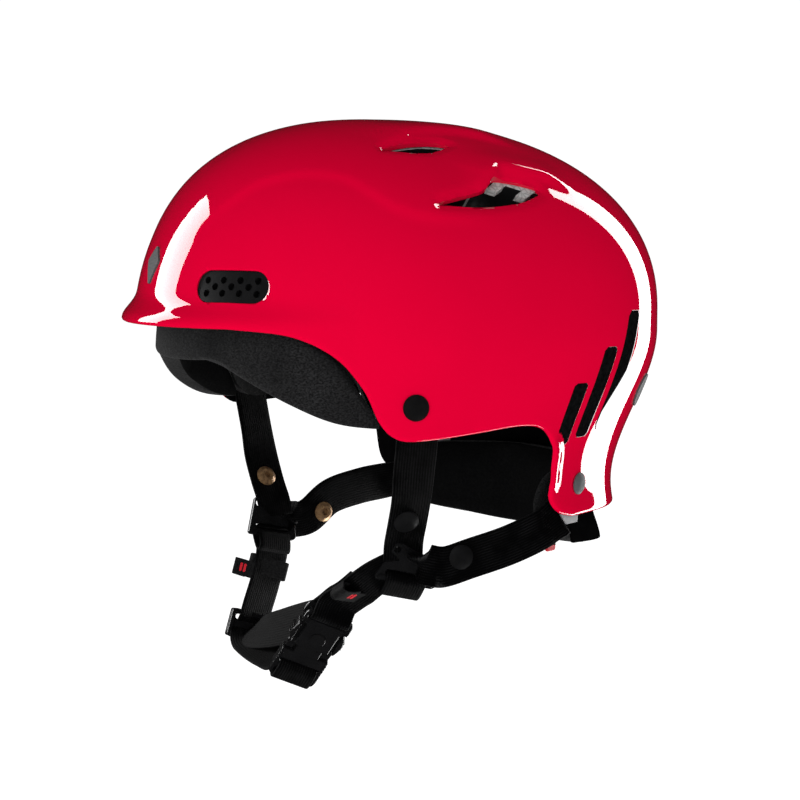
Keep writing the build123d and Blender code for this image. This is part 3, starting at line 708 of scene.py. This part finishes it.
def cut_openings(shell):
    """Takes the vents and the grilles' pill-shaped openings out of both sides."""
    half_run, radius = (GRILLE_LENGTH - GRILLE_HEIGHT) / 2, GRILLE_HEIGHT / 2 + GRILLE_PLAY
    ends = np.radians(np.linspace(-90, 90, 17))
    pill = [(sign * (half_run + radius * math.cos(angle)), sign * radius * math.sin(angle))
            for sign in (1, -1) for angle in ends]
    for side, _ in SIDES:
        for outline, (turn, z) in OPENINGS:
            ring = vent_ring(outline, side, 1.2)
            cut(shell, prism("cutter", ring, *face_frame(turn, z, side), 20, 20))
        cut(shell, prism("cutter", pill, *face_frame(*GRILLE, side), 20, 20))


build_shell()


# ---------------------------------------------------------------- soft pads
def strip_pad(name, turns, low, high, depth_out, depth_in, stations=90, around=36, power=4.5,
              set_in=0.0):
    """Crowned strip of padding that follows the dome, rounded all round.

    low and high give the strip's edges (height) for a turn; set_in sinks its middle stretch.
    """
    share = np.linspace(-1, 1, stations)
    share = np.sign(share) * (1 - (1 - np.abs(share)) ** 1.6)
    turn = turns[0] + (turns[1] - turns[0]) * (share + 1) / 2
    span = (1 - np.minimum(np.abs(share), 0.9995) ** 14) ** (1 / 3)
    angle = np.linspace(0, 2 * math.pi, around, endpoint=False)
    rise = np.sign(np.sin(angle)) * np.abs(np.sin(angle)) ** (2 / power)
    sink = np.sign(np.cos(angle)) * np.abs(np.cos(angle)) ** (2 / power)
    middle, half = (high(turn) + low(turn)) / 2, (high(turn) - low(turn)) / 2
    z = middle[:, None] + (half * span)[:, None] * rise[None, :]
    depth = (depth_out + depth_in) / 2 + (depth_in - depth_out) / 2 * span[:, None] * sink[None, :]
    depth = depth + set_in * smooth((56 - np.abs(turn)) / 34)[:, None]
    points = dome(turn[:, None] + 0 * z, z, depth).reshape(-1, 3)
    pad = make_object(name, points, tube_faces(stations, around))
    pad.data.materials.append(pad_fabric)
    pad.data.materials.append(pad_fabric_painted_shade)
    # the inner faces take the darker copy of the fabric, painted shade
    in_painted_shade = [int(index % around < around * 0.2 or index % around >= around * 0.8)
             for index in range((stations - 1) * around)]
    pad.data.polygons.foreach_set("material_index", in_painted_shade + [0, 0])
    fix_normals(pad)
    return pad


def puff(pad, cap, pressure=4.0):
    """Swells the pad as filled cloth, letting no point move by more than cap (mm)."""
    scene = bpy.context.scene
    start = np.array([vertex.co for vertex in pad.data.vertices])
    cloth = pad.modifiers.new("cloth", "CLOTH").settings
    cloth.quality = 5
    cloth.use_pressure, cloth.uniform_pressure_force = True, pressure
    cloth.tension_stiffness = cloth.compression_stiffness = 15
    cloth.bending_stiffness = 0.5
    cloth.effector_weights.gravity = 0
    scene.frame_start, scene.frame_end = 1, 20
    for frame_number in range(1, 21):
        scene.frame_set(frame_number)
    settle(pad)
    scene.frame_set(1)
    moved = np.array([vertex.co for vertex in pad.data.vertices]) - start
    length = np.linalg.norm(moved, axis=1, keepdims=True)
    moved = moved * np.minimum(1, cap * MM / np.maximum(length, 1e-9))
    pad.data.vertices.foreach_set("co", (start + moved).ravel())
    pad.data.update()
    modifier(pad, "SUBSURF", levels=1, render_levels=1)
    settle(pad)
    smooth_shading(pad.data)


def side_line(points):
    """Height as a function of turn for an edge drawn in side view as (y, z) points."""
    line = curve_through(points, 1.0)
    turn = turn_at(line[:, 0], line[:, 1], 12.0)
    order = np.argsort(turn)
    return lambda at: np.interp(np.abs(at), turn[order], line[order, 1])


def level_line(z):
    """As side_line, for a level edge."""
    return lambda at: np.full_like(at, z)


CROWN_PAD_Z, CROWN_PAD_FALL, CROWN_PAD_REACH = 72.9, 9.7, 40
BAND_TOP = ((-108, 1.5), (-104, 1.2), (-79, -3.2), (-60.5, -13.7), (-48.7, -29.5), (-39, -44.0))
BAND_FOOT = ((-109, -19), (-104, -21.5), (-94, -27.6), (-76, -37.5), (-58, -46.0), (-39, -50.5))
NAPE_TOP = ((52, -90), (60, -81), (72, -76), (100, -74.5), (118, -74))
NAPE_FOOT = ((52, -104), (66, -110), (84, -114), (104, -117.5), (118, -118.5))


def finish_pad(pad, node, cap, body="root"):
    """Swells a pad by cap (mm) at most, and has it take a CAD node's place."""
    puff(pad, cap)
    finish_piece(pad, "pad_fabric", node, body=body)


def build_pads():
    band = strip_pad("brow_band_pad", (-69, 69), side_line(BAND_FOOT), side_line(BAND_TOP),
                     8.4, 19.2, stations=150, around=44, power=6, set_in=9.4)
    finish_pad(band, "brow_band", 1.2)
    inner = (("brow_pad", (-44, 44), 7, 33), ("rear_pad", (153, 207), -38, 16),
             ("left_side_pad", (64, 112), -18.5, 18.5), ("right_side_pad", (-112, -64), -18.5, 18.5))
    for node, turns, low, high in inner:
        pad = strip_pad(node + "_cushion", turns, level_line(low), level_line(high), 20.8, 26.4,
                        stations=60, around=32, power=3.2)
        finish_pad(pad, node, 1.0)
    nape = strip_pad("nape_cushion", (112, 248), nape_line(NAPE_FOOT), nape_line(NAPE_TOP),
                     16.2, 22.8, stations=120, around=36, power=3.6)
    finish_pad(nape, "nape_pad", 1.2, body="cradle")
    finish_pad(crown_cushion(), "crown_pad", 1.0)


def nape_line(points):
    """As side_line, for a strip that runs round the back from one side to the other."""
    side = side_line(points)
    return lambda at: side(np.where(at > 180, 360 - at, at))


def crown_cushion(radius=38.0, thick=5.6, rings=16, around=72):
    """Round pad under the crown with three shallow petals."""
    points, faces = [], []
    shares = [index / rings for index in range(1, rings + 1)]
    loops = [(share, 1) for share in shares] + [(share, -1) for share in reversed(shares)]
    for share, face in loops:
        bulge = thick / 2 * (1 - min(share, 0.999) ** 5) ** (1 / 3)
        for step in range(around):
            angle = 2 * math.pi * step / around
            reach = radius * share * (0.93 + 0.07 * math.cos(3 * angle))
            dip = CROWN_PAD_FALL * (reach / CROWN_PAD_REACH) ** 2
            points.append((reach * math.cos(angle), reach * math.sin(angle),
                           CROWN_PAD_Z - dip + face * bulge))
    faces += grid_faces(len(loops), around, close_columns=True)
    for row, z in ((0, CROWN_PAD_Z + thick / 2), (len(loops) - 1, CROWN_PAD_Z - thick / 2)):
        faces += fan_faces(row * around, around, len(points))
        points.append((0, 0, z))
    cushion = make_object("crown_cushion", points, faces)
    fix_normals(cushion)
    return cushion


build_pads()


# ---------------------------------------------------------------- moulded fittings
def rounded_box(run, width, corner, at=(0.0, 0.0), steps=5):
    """Outline of a rounded rectangle."""
    points = []
    for sign_u, sign_v, first in ((1, 1, 0), (-1, 1, 90), (-1, -1, 180), (1, -1, 270)):
        middle = (at[0] + sign_u * (run / 2 - corner), at[1] + sign_v * (width / 2 - corner))
        for angle in np.radians(np.linspace(first, first + 90, steps)):
            points.append((middle[0] + corner * math.cos(angle), middle[1] + corner * math.sin(angle)))
    return points


def both_sides(half):
    """A closed outline from its half with the second coordinate positive."""
    return list(half) + [(u, -v) for u, v in reversed(half)]


def fitting(name, lie, outline, depth_out, depth_in, holes=(), edge=0.4):
    """Moulded block lying in lie = (origin, level, upright, outward), with through holes."""
    piece = prism(name, outline, *lie, depth_out, depth_in)
    for hole in holes:
        cut(piece, prism("cutter", hole, *lie, 30, 30))
    smooth_shading(piece.data)
    soften(piece, edge, 0.6)
    settle(piece)
    return piece


def joined(name, pieces):
    """One object of several closed lumps."""
    mesh = bmesh.new()
    for piece in pieces:
        mesh.from_mesh(piece.data)
        bpy.data.objects.remove(piece)
    whole = bpy.data.meshes.new(name)
    mesh.to_mesh(whole)
    mesh.free()
    made = bpy.data.objects.new(name, whole)
    bpy.context.scene.collection.objects.link(made)
    return made


# ---------------------------------------------------------------- thin pieces that follow the dome
def dome_patch(name, rows, depth_out, depth_in, side=1, columns=14, proud=None):
    """Thin closed piece between two depths; rows holds (z, first y, last y) up one side."""
    rows = np.array(rows, float)
    share = np.linspace(0, 1, columns)
    y = rows[:, 1:2] + (rows[:, 2:3] - rows[:, 1:2]) * share[None, :]
    z = np.repeat(rows[:, :1], columns, axis=1)
    turn = turn_at(y, z)
    sheets = []
    for depth in (depth_out, depth_in):
        points = dome(turn, z, depth)
        if proud is not None:
            points = points + proud(points.reshape(-1, 3)).reshape(points.shape)
        sheets.append(points.reshape(-1, 3))
    count = len(rows) * columns
    grid = grid_faces(len(rows), columns)
    faces = grid + [tuple(index + count for index in face[::-1]) for face in grid]
    rim = list(range(columns)) + [row * columns + columns - 1 for row in range(1, len(rows))]
    rim += [(len(rows) - 1) * columns + column for column in range(columns - 2, -1, -1)]
    rim += [row * columns for row in range(len(rows) - 2, 0, -1)]
    for here, after in zip(rim, rim[1:] + rim[:1]):
        faces.append((here, here + count, after + count, after))
    piece = make_object(name, np.concatenate(sheets) * (side, 1, 1), faces)
    fix_normals(piece)
    soften(piece, 0.25, 0.8)
    settle(piece)
    return piece


def bar(foot, height, low, lean=0.3, width=9.0, steps=24):
    """Rows of a leaning bar with softly rounded ends."""
    rows = []
    for share in np.linspace(0, 1, steps):
        near_end = min(share, 1 - share) * height
        tuck = 1.6 * (1 - math.sqrt(max(0.0, 1 - (1 - min(near_end / 1.6, 1)) ** 2)))
        start = foot + height * lean * share
        rows.append((low + height * share, start + tuck, start + width - tuck))
    return rows


ANCHOR_ROWS = ((-64, 71.5, 84.5), (-65.5, 70, 86), (-72, 69.4, 86.6), (-84, 67, 86), (-92, 64.5, 82),
               (-95, 63.6, 77.5), (-98.4, 64.6, 76.6), (-100.6, 66.5, 75.6))
SLEEVE_OUT, SLEEVE_IN = 0.97, 0.86  # of the foam's vent
TAB_ROWS = ((-107.9, 62.2, 69.6), (-110, 62.2, 69.6), (-113.4, 62.4, 69.4), (-114.4, 63.4, 68.4))


def build_trim():
    """Tail anchors and tabs, printed stripes, the foam's step and the sleeves in its vents."""
    for side, name in SIDES:
        anchor = dome_patch(f"{name}_anchor_plate", ANCHOR_ROWS, 3.9, 6.4, side)
        finish_piece(anchor, "grey_plastic", f"{name}_tail_anchor")
        tab = dome_patch(f"{name}_tab_lug", TAB_ROWS, 13.3, 15.0, side)
        finish_piece(tab, "red_plastic", f"{name}_release_tab", body=f"{name}_tab")
        bars = [dome_patch("bar", bar(foot, height, -66 + height * 0.2), -0.2, 0.25, side)
                for foot, height in ((50, 30), (64, 44), (78, 58))]
        finish_piece(joined(f"{name}_stripe_film", bars), "black_film", f"{name}_side_stripes")
        step = prism(f"{name}_foam_step", FOAM_STEP, *face_frame(*SIDE_VENT_AT, side), -4.0, 7.5)
        finish_piece(step, "grey_foam")
        for outline, (turn, z) in VENTS:
            ring = vent_ring(outline, side, 1.6)
            middle, lie = ring.mean(0), face_frame(turn, z, side)
            outer, inner = (middle + (ring - middle) * share for share in (SLEEVE_OUT, SLEEVE_IN))
            sleeve = prism(f"{name}_vent_sleeve_{int(z)}", outer, *lie, -4.4, 30)
            cut(sleeve, prism("cutter", inner, *lie, 30, 40))
            finish_piece(sleeve, "black_plastic")


build_trim()


# ---------------------------------------------------------------- harness webbing
def strap_profile(width, thick):
    """Flattened cross-section with rounded selvedges, as (across, out) points."""
    face = np.linspace(-width / 2 + thick / 2, width / 2 - thick / 2, 9)
    edge = np.radians(np.linspace(60, -60, 4))
    upper = [(a, thick / 2) for a in face]
    right = [(width / 2 - thick / 2 + thick / 2 * math.cos(e), thick / 2 * math.sin(e)) for e in edge]
    lower = [(-a, -o) for a, o in upper]
    left = [(-a, -o) for a, o in right]
    return np.array(upper + right + lower + left)


def strap(name, points, across, width=WEBBING, thick=WEBBING_T, step=1.2):
    """Ribbon of webbing along points; across holds its width direction at each point."""
    points, across = np.asarray(points, float), np.asarray(across, float)
    if across.ndim == 1:
        across = np.tile(across, (len(points), 1))
    both = curve_through(np.hstack([points, unit(across) * 0.001]), step)
    centre, aside = both[:, :3], unit(both[:, 3:])
    along = unit(np.gradient(centre, axis=0))
    aside = unit(aside - along * (aside * along).sum(-1, keepdims=True))
    out = np.cross(aside, along)
    profile = strap_profile(width, thick)
    rows = centre[:, None] + aside[:, None] * profile[None, :, :1] + out[:, None] * profile[None, :, 1:]
    uvs = [(u * MM, v * MM) for u in run_along(centre) for v in profile[:, 0]]
    ribbon = make_object(name, rows.reshape(-1, 3), tube_faces(len(rows), len(profile)), uvs)
    fix_normals(ribbon)
    return ribbon


def lay_strap(name, points, across, *replaced, body="root", **sizes):
    """A finished strap riding on one body, in place of CAD nodes where it has any."""
    finish_piece(strap(name, points, across, **sizes), "webbing", *replaced, body=body)


def mirrored(points, side):
    """Points or directions given for the left side, as they lie on either side."""
    return np.asarray(points, float) * (side, 1, 1)


def dome_at(turn, z, inset):
    """One point of the dome, as plain numbers."""
    return tuple(float(value) for value in dome(turn, z, inset))


# straps of the left side and of the chin: points along the middle of each, and the directions
# (ACROSS) in which its width lies there
FRONT_STRAP = (
    dome_at(76.6, -27, 5.9), dome_at(76.6, -38, 5.8), dome_at(77.6, -50.5, 6.0), (96.8, -23.6, -68),
    (92.4, -22.8, -82), (85.8, -21.8, -95), (80.2, -20.8, -104.5), (78.0, -20.2, -113),
)
REAR_STRAP = (
    (86.4, 60.8, -96.4), (86.8, 58.8, -97.4), (87.2, 56.6, -98.4), (88.7, 48, -102.5),
    (85.5, 32.4, -109), (82.6, 14, -114.2), (81.4, 1, -117.5), (82.1, -6.8, -116.5),
    (81.6, -13.0, -114.4), (78.6, -17.0, -112.6),
)
REAR_ACROSS = (
    (-0.25, -0.35, 0.9), (-0.2, -0.33, 0.92), (-0.1, -0.3, 0.95), (0, -0.27, 0.96), (0, -0.27, 0.96),
    (0, -0.3, 0.95), (0, -0.45, 0.89), (-0.03, -0.7, 0.71), (-0.05, -0.87, 0.49), (-0.05, -0.87, 0.49),
)
FAR_REAR_LIFT = (-1.5, -1.5, 0, 3, 8, 9, 3, 0, 0, 0)
CHIN_STRAP = (
    (76.5, -21.5, -116.0), (72.8, -25.6, -118.8), (68.8, -29.5, -122.0), (64.2, -33.2, -126.3),
    (59.4, -36.1, -130.8), (54.0, -38.3, -134.3),
)
CHIN_ACROSS = (
    (0.26, -0.55, 0.79), (0.26, -0.55, 0.79), (0.26, -0.55, 0.79), (0.1, -0.72, 0.68),
    (-0.08, -0.85, 0.52), (-0.15, -0.88, 0.45),
)
CHIN_WRAP = ((31, 1.2), (26.8, 2.6), (24.2, 4.9), (21.8, 5.2), (20.3, 3.6), (20.2, 0), (20.4, -3.8),
             (22.5, -5.2), (26, -3.6), (31, -1.0))
FAR_CHIN_STRAP = (
    (-78.8, -20.5, -117), (-79.6, -21.5, -126), (-79.2, -22.5, -134.2), (-78.5, -24.5, -141),
    (-76.5, -28.4, -151), (-74.0, -33.2, -161.5), (-72.6, -35.6, -167.5), (-73.6, -36.6, -170.5),
)
# the chin webbing's path round the buckle's ladder, as (along, out) on the buckle, in mm
CHIN_WEBBING = (
    (-13.5, -1.2), (-13.7, 2.0), (-15.4, 4.0), (-19, 4.4), (-23.4, 4.1), (-25.9, 1.3), (-25.5, -2.6),
    (-21.5, -4.6), (-17, -5.8),
)
UNDER_CHIN = ((2, -49.8, -174.6), (-14, -49.4, -175.8), (-30, -48.2, -176), (-45, -46.6, -175.6),
              (-58, -44.2, -175), (-68.6, -40.6, -174.2), (-74.4, -38.4, -173), (-72.8, -37.4, -171.4))
RETURN_LAYER = ((-73.6, -37.6, -171.6), (-68, -39.6, -172.4), (-56, -43.6, -170.8),
                (-38, -45.4, -166.8), (-18, -44.8, -161.6), (0, -43.2, -156.0), (14, -41.6, -151.8),
                (24, -40.4, -149.4))
RETURN_ACROSS = ((0, 0.85, 0.5), (0, 0.82, 0.55), (0.05, 0.66, 0.74), (0.1, 0.45, 0.88),
                 (0.12, 0.3, 0.94)) + ((0.12, 0.28, 0.95),) * 3
FRONT_ACROSS = (0.21, 0.977, 0.0)


def at_buckle(x, y, z):
    """A point given along, across and out of the chin buckle."""
    return BUCKLE_CENTRE + x * BUCKLE_ALONG + y * BUCKLE_ACROSS + z * BUCKLE_FACE


def build_straps():
    for side, name in SIDES:
        lay_strap(f"{name}_front_webbing", mirrored(FRONT_STRAP, side),
                  mirrored([FRONT_ACROSS] * 4 + [(0.1, 0.99, 0.02)] * 4, side), f"{name}_front_strap")
        run = mirrored(REAR_STRAP, side)
        if side < 0:
            run[:, 2] += FAR_REAR_LIFT
        lay_strap(f"{name}_rear_webbing", run, mirrored(REAR_ACROSS, side), f"{name}_rear_strap")
    # the near chin strap wraps the buckle's end bar and comes back under itself
    wrap = [at_buckle(x, 0, z) for x, z in CHIN_WRAP]
    back = [np.array(point) - 1.9 * BUCKLE_FACE for point in CHIN_STRAP[:2:-1]]
    run = list(CHIN_STRAP) + wrap + back
    across = list(CHIN_ACROSS) + [BUCKLE_ACROSS] * len(wrap) + list(CHIN_ACROSS[:2:-1])
    lay_strap("left_chin_webbing", run, across, "left_chin_strap", step=0.9)
    across = [(-0.15, 0.96, -0.2)] * 3 + [(-0.2, 0.9, -0.4)] * 5
    far = strap("right_chin_webbing", FAR_CHIN_STRAP, across)
    far.data.materials.append(SLOT_MATERIALS["webbing"])
    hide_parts("right_chin_strap")
    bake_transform(far)
    ladder = [at_buckle(x, 0, z) for x, z in CHIN_WEBBING]
    across = [BUCKLE_ACROSS * -1] * 9 + [(0.03, 0.95, 0.28)] * 5 + [(-0.1, 0.93, -0.3)] * 3
    lay_strap("chin_strap_under", ladder + list(UNDER_CHIN), across, "chin_webbing",
              body="chin_catch", step=0.9)
    lay_strap("chin_strap_return", RETURN_LAYER, RETURN_ACROSS, body="chin_catch")


build_straps()


# ---------------------------------------------------------------- chin buckle and other fittings
# outlines on the buckle, as (along, across)
BUCKLE = (BUCKLE_CENTRE, BUCKLE_ALONG, BUCKLE_ACROSS, BUCKLE_FACE)
FEMALE_HALF = ((0.3, 8.0), (0.9, 8.9), (14.4, 8.9), (15.4, 9.8), (15.9, 11.4), (17.0, 12.5),
               (21.5, 12.5), (23.6, 11.7), (24.4, 10.0))
MALE_HALF = ((-5.7, 12.4), (-20.5, 12.5), (-23.6, 11.8), (-24.6, 10.0))
PADDLE = ((0.6, 10.9), (0.8, 11.9), (4, 12.9), (8, 13.6), (12, 12.7), (13.4, 11.8), (13.6, 10.9))
ARM = ((-5.0, 7.6), (-5.0, 11.6), (-0.4, 11.9), (0.6, 11.2), (6, 11.2), (13.5, 11.0), (15.4, 8.6),
       (14.2, 7.2), (-2, 7.4))


def finish_fitting(name, lumps, node, body="root"):
    """Glossy moulded fitting of several lumps, in place of a CAD node."""
    finish_piece(joined(name, lumps), "black_plastic", node, body=body, made=gloss_plastic)


def block(run, width, corner, at, depths, edge, holes=(), steps=5):
    """Rounded block on the buckle, reaching depths = (out, in) from its middle plane."""
    return fitting("block", BUCKLE, rounded_box(run, width, corner, at, steps), *depths, holes, edge)


def build_buckle():
    bar_slot = [rounded_box(2.6, 20.8, 1.0, (20.2, 0))]
    socket = [
        fitting("half", BUCKLE, both_sides(FEMALE_HALF), 4.2, -1.7, bar_slot, 0.7),
        fitting("half", BUCKLE, both_sides(FEMALE_HALF), -1.7, 4.2, bar_slot, 0.7),
        block(6.4, 21.0, 1.0, (19.6, 0), (1.9, 1.9), 0.2, bar_slot),
        block(9.0, 8.0, 3.9, (7.4, 0), (4.75, -4.0), 0.3, steps=9),
    ]
    socket += [block(0.6, 3.2, 0.25, (x, y), (4.5, 4.5), 0.15)
               for x in (16.6, 17.9) for y in (10.4, -10.4)]
    finish_fitting("buckle_socket", socket, "buckle_female")
    slots = [rounded_box(2.6, 20.8, 1.0, (x, 0)) for x in (-20.5, -13.5)]
    plug = [fitting("plate", BUCKLE, both_sides(MALE_HALF), 2.8, 2.8, slots, 0.7),
            block(7.6, 13.4, 1.0, (-3.4, 0), (2.6, 2.6), 0.6),
            block(14.0, 6.4, 1.5, (6.0, 0), (1.2, 1.2), 0.4)]
    plug += [block(0.9, 1.8, 0.4, (x, y), (3.2, 3.2), 0.25)
             for y in (11.4, -11.4) for x in (-8.0, -10.0, -12.0)]
    finish_fitting("buckle_plug", plug, "buckle_male", body="chin_catch")
    for side, name in SIDES:
        turned = [[(x, y * side) for x, y in outline] for outline in (PADDLE, ARM)]
        prong = [fitting("paddle", BUCKLE, turned[0], 3.3, 3.3, (), 0.7),
                 fitting("arm", BUCKLE, turned[1], 1.2, 1.2, (), 0.3)]
        prong += [block(0.7, 1.6, 0.3, (x, side * 13.1), (2.4, 2.4), 0.25) for x in (5.4, 7.4, 9.4)]
        finish_fitting(f"{name}_prong_arm", prong, f"{name}_buckle_prong", body=f"{name}_prong")


def squared(vector, axis):
    """The unit vector square to axis that lies nearest to vector."""
    return unit(np.array(vector) - axis * np.dot(vector, axis))


DIVIDER_LEVEL = unit((0.18, 0.96, -0.22))
DIVIDER_OUT = squared((0.9, -0.25, -0.35), DIVIDER_LEVEL)
DIVIDER_AT = np.array((77.3, -17.5, -116.3))
DIVIDER_OUTLINE = ((-14.2, -8.6), (-13.0, -9.6), (15.0, -9.8), (16.6, -8.6), (16.2, 1.0), (13.2, 4.4),
                   (-5.4, 11.6), (-8.4, 11.6), (-9.6, 10.4))
DIVIDER_RIM = ((-13.4, -8.8), (14.8, -9.0), (14.6, -6.4), (-12.4, -6.2))
DIVIDER_FOLD = ((-4.6, -2.2), (-4.8, 1.6), (-7.0, 3.2), (-10.5, 2.6), (-15.0, 1.0), (-17.4, -0.8),
                (-17.6, -2.6), (-14.0, -3.4), (-8.0, -3.0))
FAR_DIVIDER_SHIFT = np.array((0.0, -7.0, 1.5))


def build_dividers():
    for side, name in SIDES:
        flip = np.array((side, 1, 1))
        lie = (DIVIDER_AT * flip + FAR_DIVIDER_SHIFT * (side < 0), DIVIDER_LEVEL * flip,
               np.cross(DIVIDER_OUT, DIVIDER_LEVEL) * flip, DIVIDER_OUT * flip)
        slots = [rounded_box(21.0, 2.6, 1.2, (1.0, -4.6)), rounded_box(3.2, 3.2, 1.5, (-7.4, 8.0))]
        plates = [fitting("plate", lie, DIVIDER_OUTLINE, 1.2, 1.2, slots, 0.5),
                  fitting("rim", lie, DIVIDER_RIM, 2.2, -0.8, (), 0.6)]
        finish_fitting(f"{name}_divider_plate", plates, f"{name}_strap_divider")
        fold = [lie[0] + lie[1] + lie[2] * v + lie[3] * w for v, w in DIVIDER_FOLD]
        lay_strap(f"{name}_divider_fold", fold, lie[1], step=0.8)


# name, middle, along the strap, out of its face, towards its upper edge, shift of the tag along
# the strap, the tag's path as (across, out), and where its marks lie
KEEPERS = (
    ("left", (58.0, -36.0, -132.1), (-0.8043, -0.3138, -0.5045), (1, 0, -1), (-0.19, -0.9, 0.39), 3.0,
     ((3.0, 2.6), (8.0, 3.5), (11.8, 3.4), (13.6, 2.0), (12.8, 0.4), (12.6, -1.6)), (5.4, 3.5)),
    ("right", (-78.5, -24.6, -141.0), (0.17, -0.34, -0.93), (1, 0, 0), (0.0, -0.9, 0.45), -4.5,
     ((6.0, 2.2), (11.0, 3.2), (18.0, 3.0), (20.6, 2.0), (18.0, 1.2), (12.6, 0.8)), (16.0, 3.6)),
)


def build_keepers():
    for name, at, along, faces, upper, shift, path, mark_at in KEEPERS:
        along = unit(along)
        out = squared(faces, along)
        across = np.cross(along, out)
        across = across * np.sign(np.dot(across, upper))
        origin = np.array(at) - out * 0.8
        sleeve = fitting(f"{name}_keeper_sleeve", (origin, across, out, along),
                         rounded_box(23.0, 5.2, 2.2), 5, 5, [rounded_box(21.0, 3.4, 1.2)], 0.5)
        finish_piece(sleeve, "keeper_elastic", f"{name}_strap_keeper", body=f"{name}_keeper")
        points = [origin + across * u + out * w - along * shift for u, w in (*path, mark_at)]
        tag = strap(f"{name}_keeper_tag", points[:-1], along, width=9.0, thick=0.8, step=0.6)
        finish_piece(tag, "keeper_elastic", body=f"{name}_keeper")
        marks = [fitting("mark", (points[-1], across, along, out),
                         rounded_box(1.4, 4.6, 0.6, (offset, 0)), 0.25, 0.45, (), 0.1)
                 for offset in (-1.1, 1.1)]
        finish_piece(joined(f"{name}_keeper_mark", marks), "red_plastic", body=f"{name}_keeper")


def build_slider():
    level = unit((0.12, -0.33, -0.94))
    out = squared((-1, 0, -0.13), level)
    lie = (np.array((-72.2, -37.4, -171.6)), level, np.cross(out, level), out)
    slots = [rounded_box(2.8, 21.4, 1.3, (u, 0)) for u in (-3.6, 3.6)]
    lumps = [fitting("plate", lie, rounded_box(15.6, 27.4, 3.0), 1.4, 1.4, slots, 0.6)]
    lumps += [fitting("end", lie, rounded_box(15.0, 2.4, 1.1, (0, v)), 2.2, 2.2, (), 0.7)
              for v in (12.2, -12.2)]
    finish_fitting("chin_strap_slider", lumps, "chin_slider", body="chin_catch")


build_buckle()
build_dividers()
build_keepers()
build_slider()

# ---------------------------------------------------------------- camera, light and floor
CAMERA_TURN, CAMERA_RISE, CAMERA_AWAY = 64, 5.5, 1.1
CAMERA_AIM = Vector((0, 0.0163, -0.045))
LIGHTS_AIM = Vector((0, 0, -0.02))
FLOOR_Z = cad_box[0][2] - 0.06
WORLD_LIGHT, BACKDROP_LIGHT, BACKDROP_SHINE = 0.27, 1.05, 0.03


def towards(turn, rise):
    """Direction turn degrees round from the face and rise degrees up."""
    turn, rise = math.radians(turn), math.radians(rise)
    return Vector((math.sin(turn) * math.cos(rise), -math.cos(turn) * math.cos(rise), math.sin(rise)))


def place_facing(name, data, aim, direction, away):
    """A camera or light set off from aim in that direction, facing it."""
    made = bpy.data.objects.new(name, data)
    made.location = aim + direction * away
    made.rotation_euler = direction.to_track_quat("Z", "Y").to_euler()
    bpy.context.scene.collection.objects.link(made)
    return made


def add_camera():
    data = bpy.data.cameras.new("camera")
    data.lens, data.sensor_width = 96.5, 36
    camera = place_facing("camera", data, CAMERA_AIM, towards(CAMERA_TURN, CAMERA_RISE), CAMERA_AWAY)
    bpy.context.scene.camera = camera


def area_light(name, turn, rise, away, width, height, power, fills=True, shines=True):
    """A soft box turn degrees round from the face and rise degrees up."""
    data = bpy.data.lights.new(name, "AREA")
    data.shape, data.size, data.size_y, data.energy = "RECTANGLE", width, height, power
    light = place_facing(name, data, LIGHTS_AIM, towards(turn, rise), away)
    light.visible_diffuse, light.visible_glossy = fills, shines
    light.visible_camera = False


def add_studio():
    world = bpy.data.worlds.new("studio")
    world.use_nodes = True
    n = Nodes(world)
    rays = n.add("ShaderNodeLightPath").outputs
    seen = n.spread(rays["Is Camera Ray"], 0, 1, WORLD_LIGHT, BACKDROP_LIGHT)
    shine = n.spread(rays["Is Glossy Ray"], 0, 1, 1.0, BACKDROP_SHINE)
    backdrop = n.tree.nodes["Background"].inputs
    n.feed(backdrop["Color"], (1, 1, 1))
    n.feed(backdrop["Strength"], n.math("MULTIPLY", seen, shine))
    bpy.context.scene.world = world
    size, level = 60000, FLOOR_Z * 1000
    corners = [(x * size, y * size, level) for x, y in ((-1, -1), (1, -1), (1, 1), (-1, 1))]
    floor = make_object("floor", corners, [(0, 1, 2, 3)])
    floor.data.materials.append(material("floor", (0.35, 0.35, 0.35), 0.9, Emission_Color=(1, 1, 1, 1),
                                         Emission_Strength=0.97))
    floor.visible_glossy = floor.visible_shadow = False
    # tall boxes behind the shell give the long highlights; the fills light it without a reflection
    area_light("front_box", -46, 16, 1.3, 0.50, 1.0, 17, fills=False)
    area_light("rear_box", 190, -8, 1.4, 0.46, 5.2, 82, fills=False)
    area_light("key", 48, 12, 2.2, 1.8, 1.8, 27, shines=False)
    area_light("rear_fill", 215, 35, 2.2, 1.8, 1.8, 9, shines=False)
    bpy.context.scene.view_settings.view_transform = "Standard"


add_camera()
add_studio()
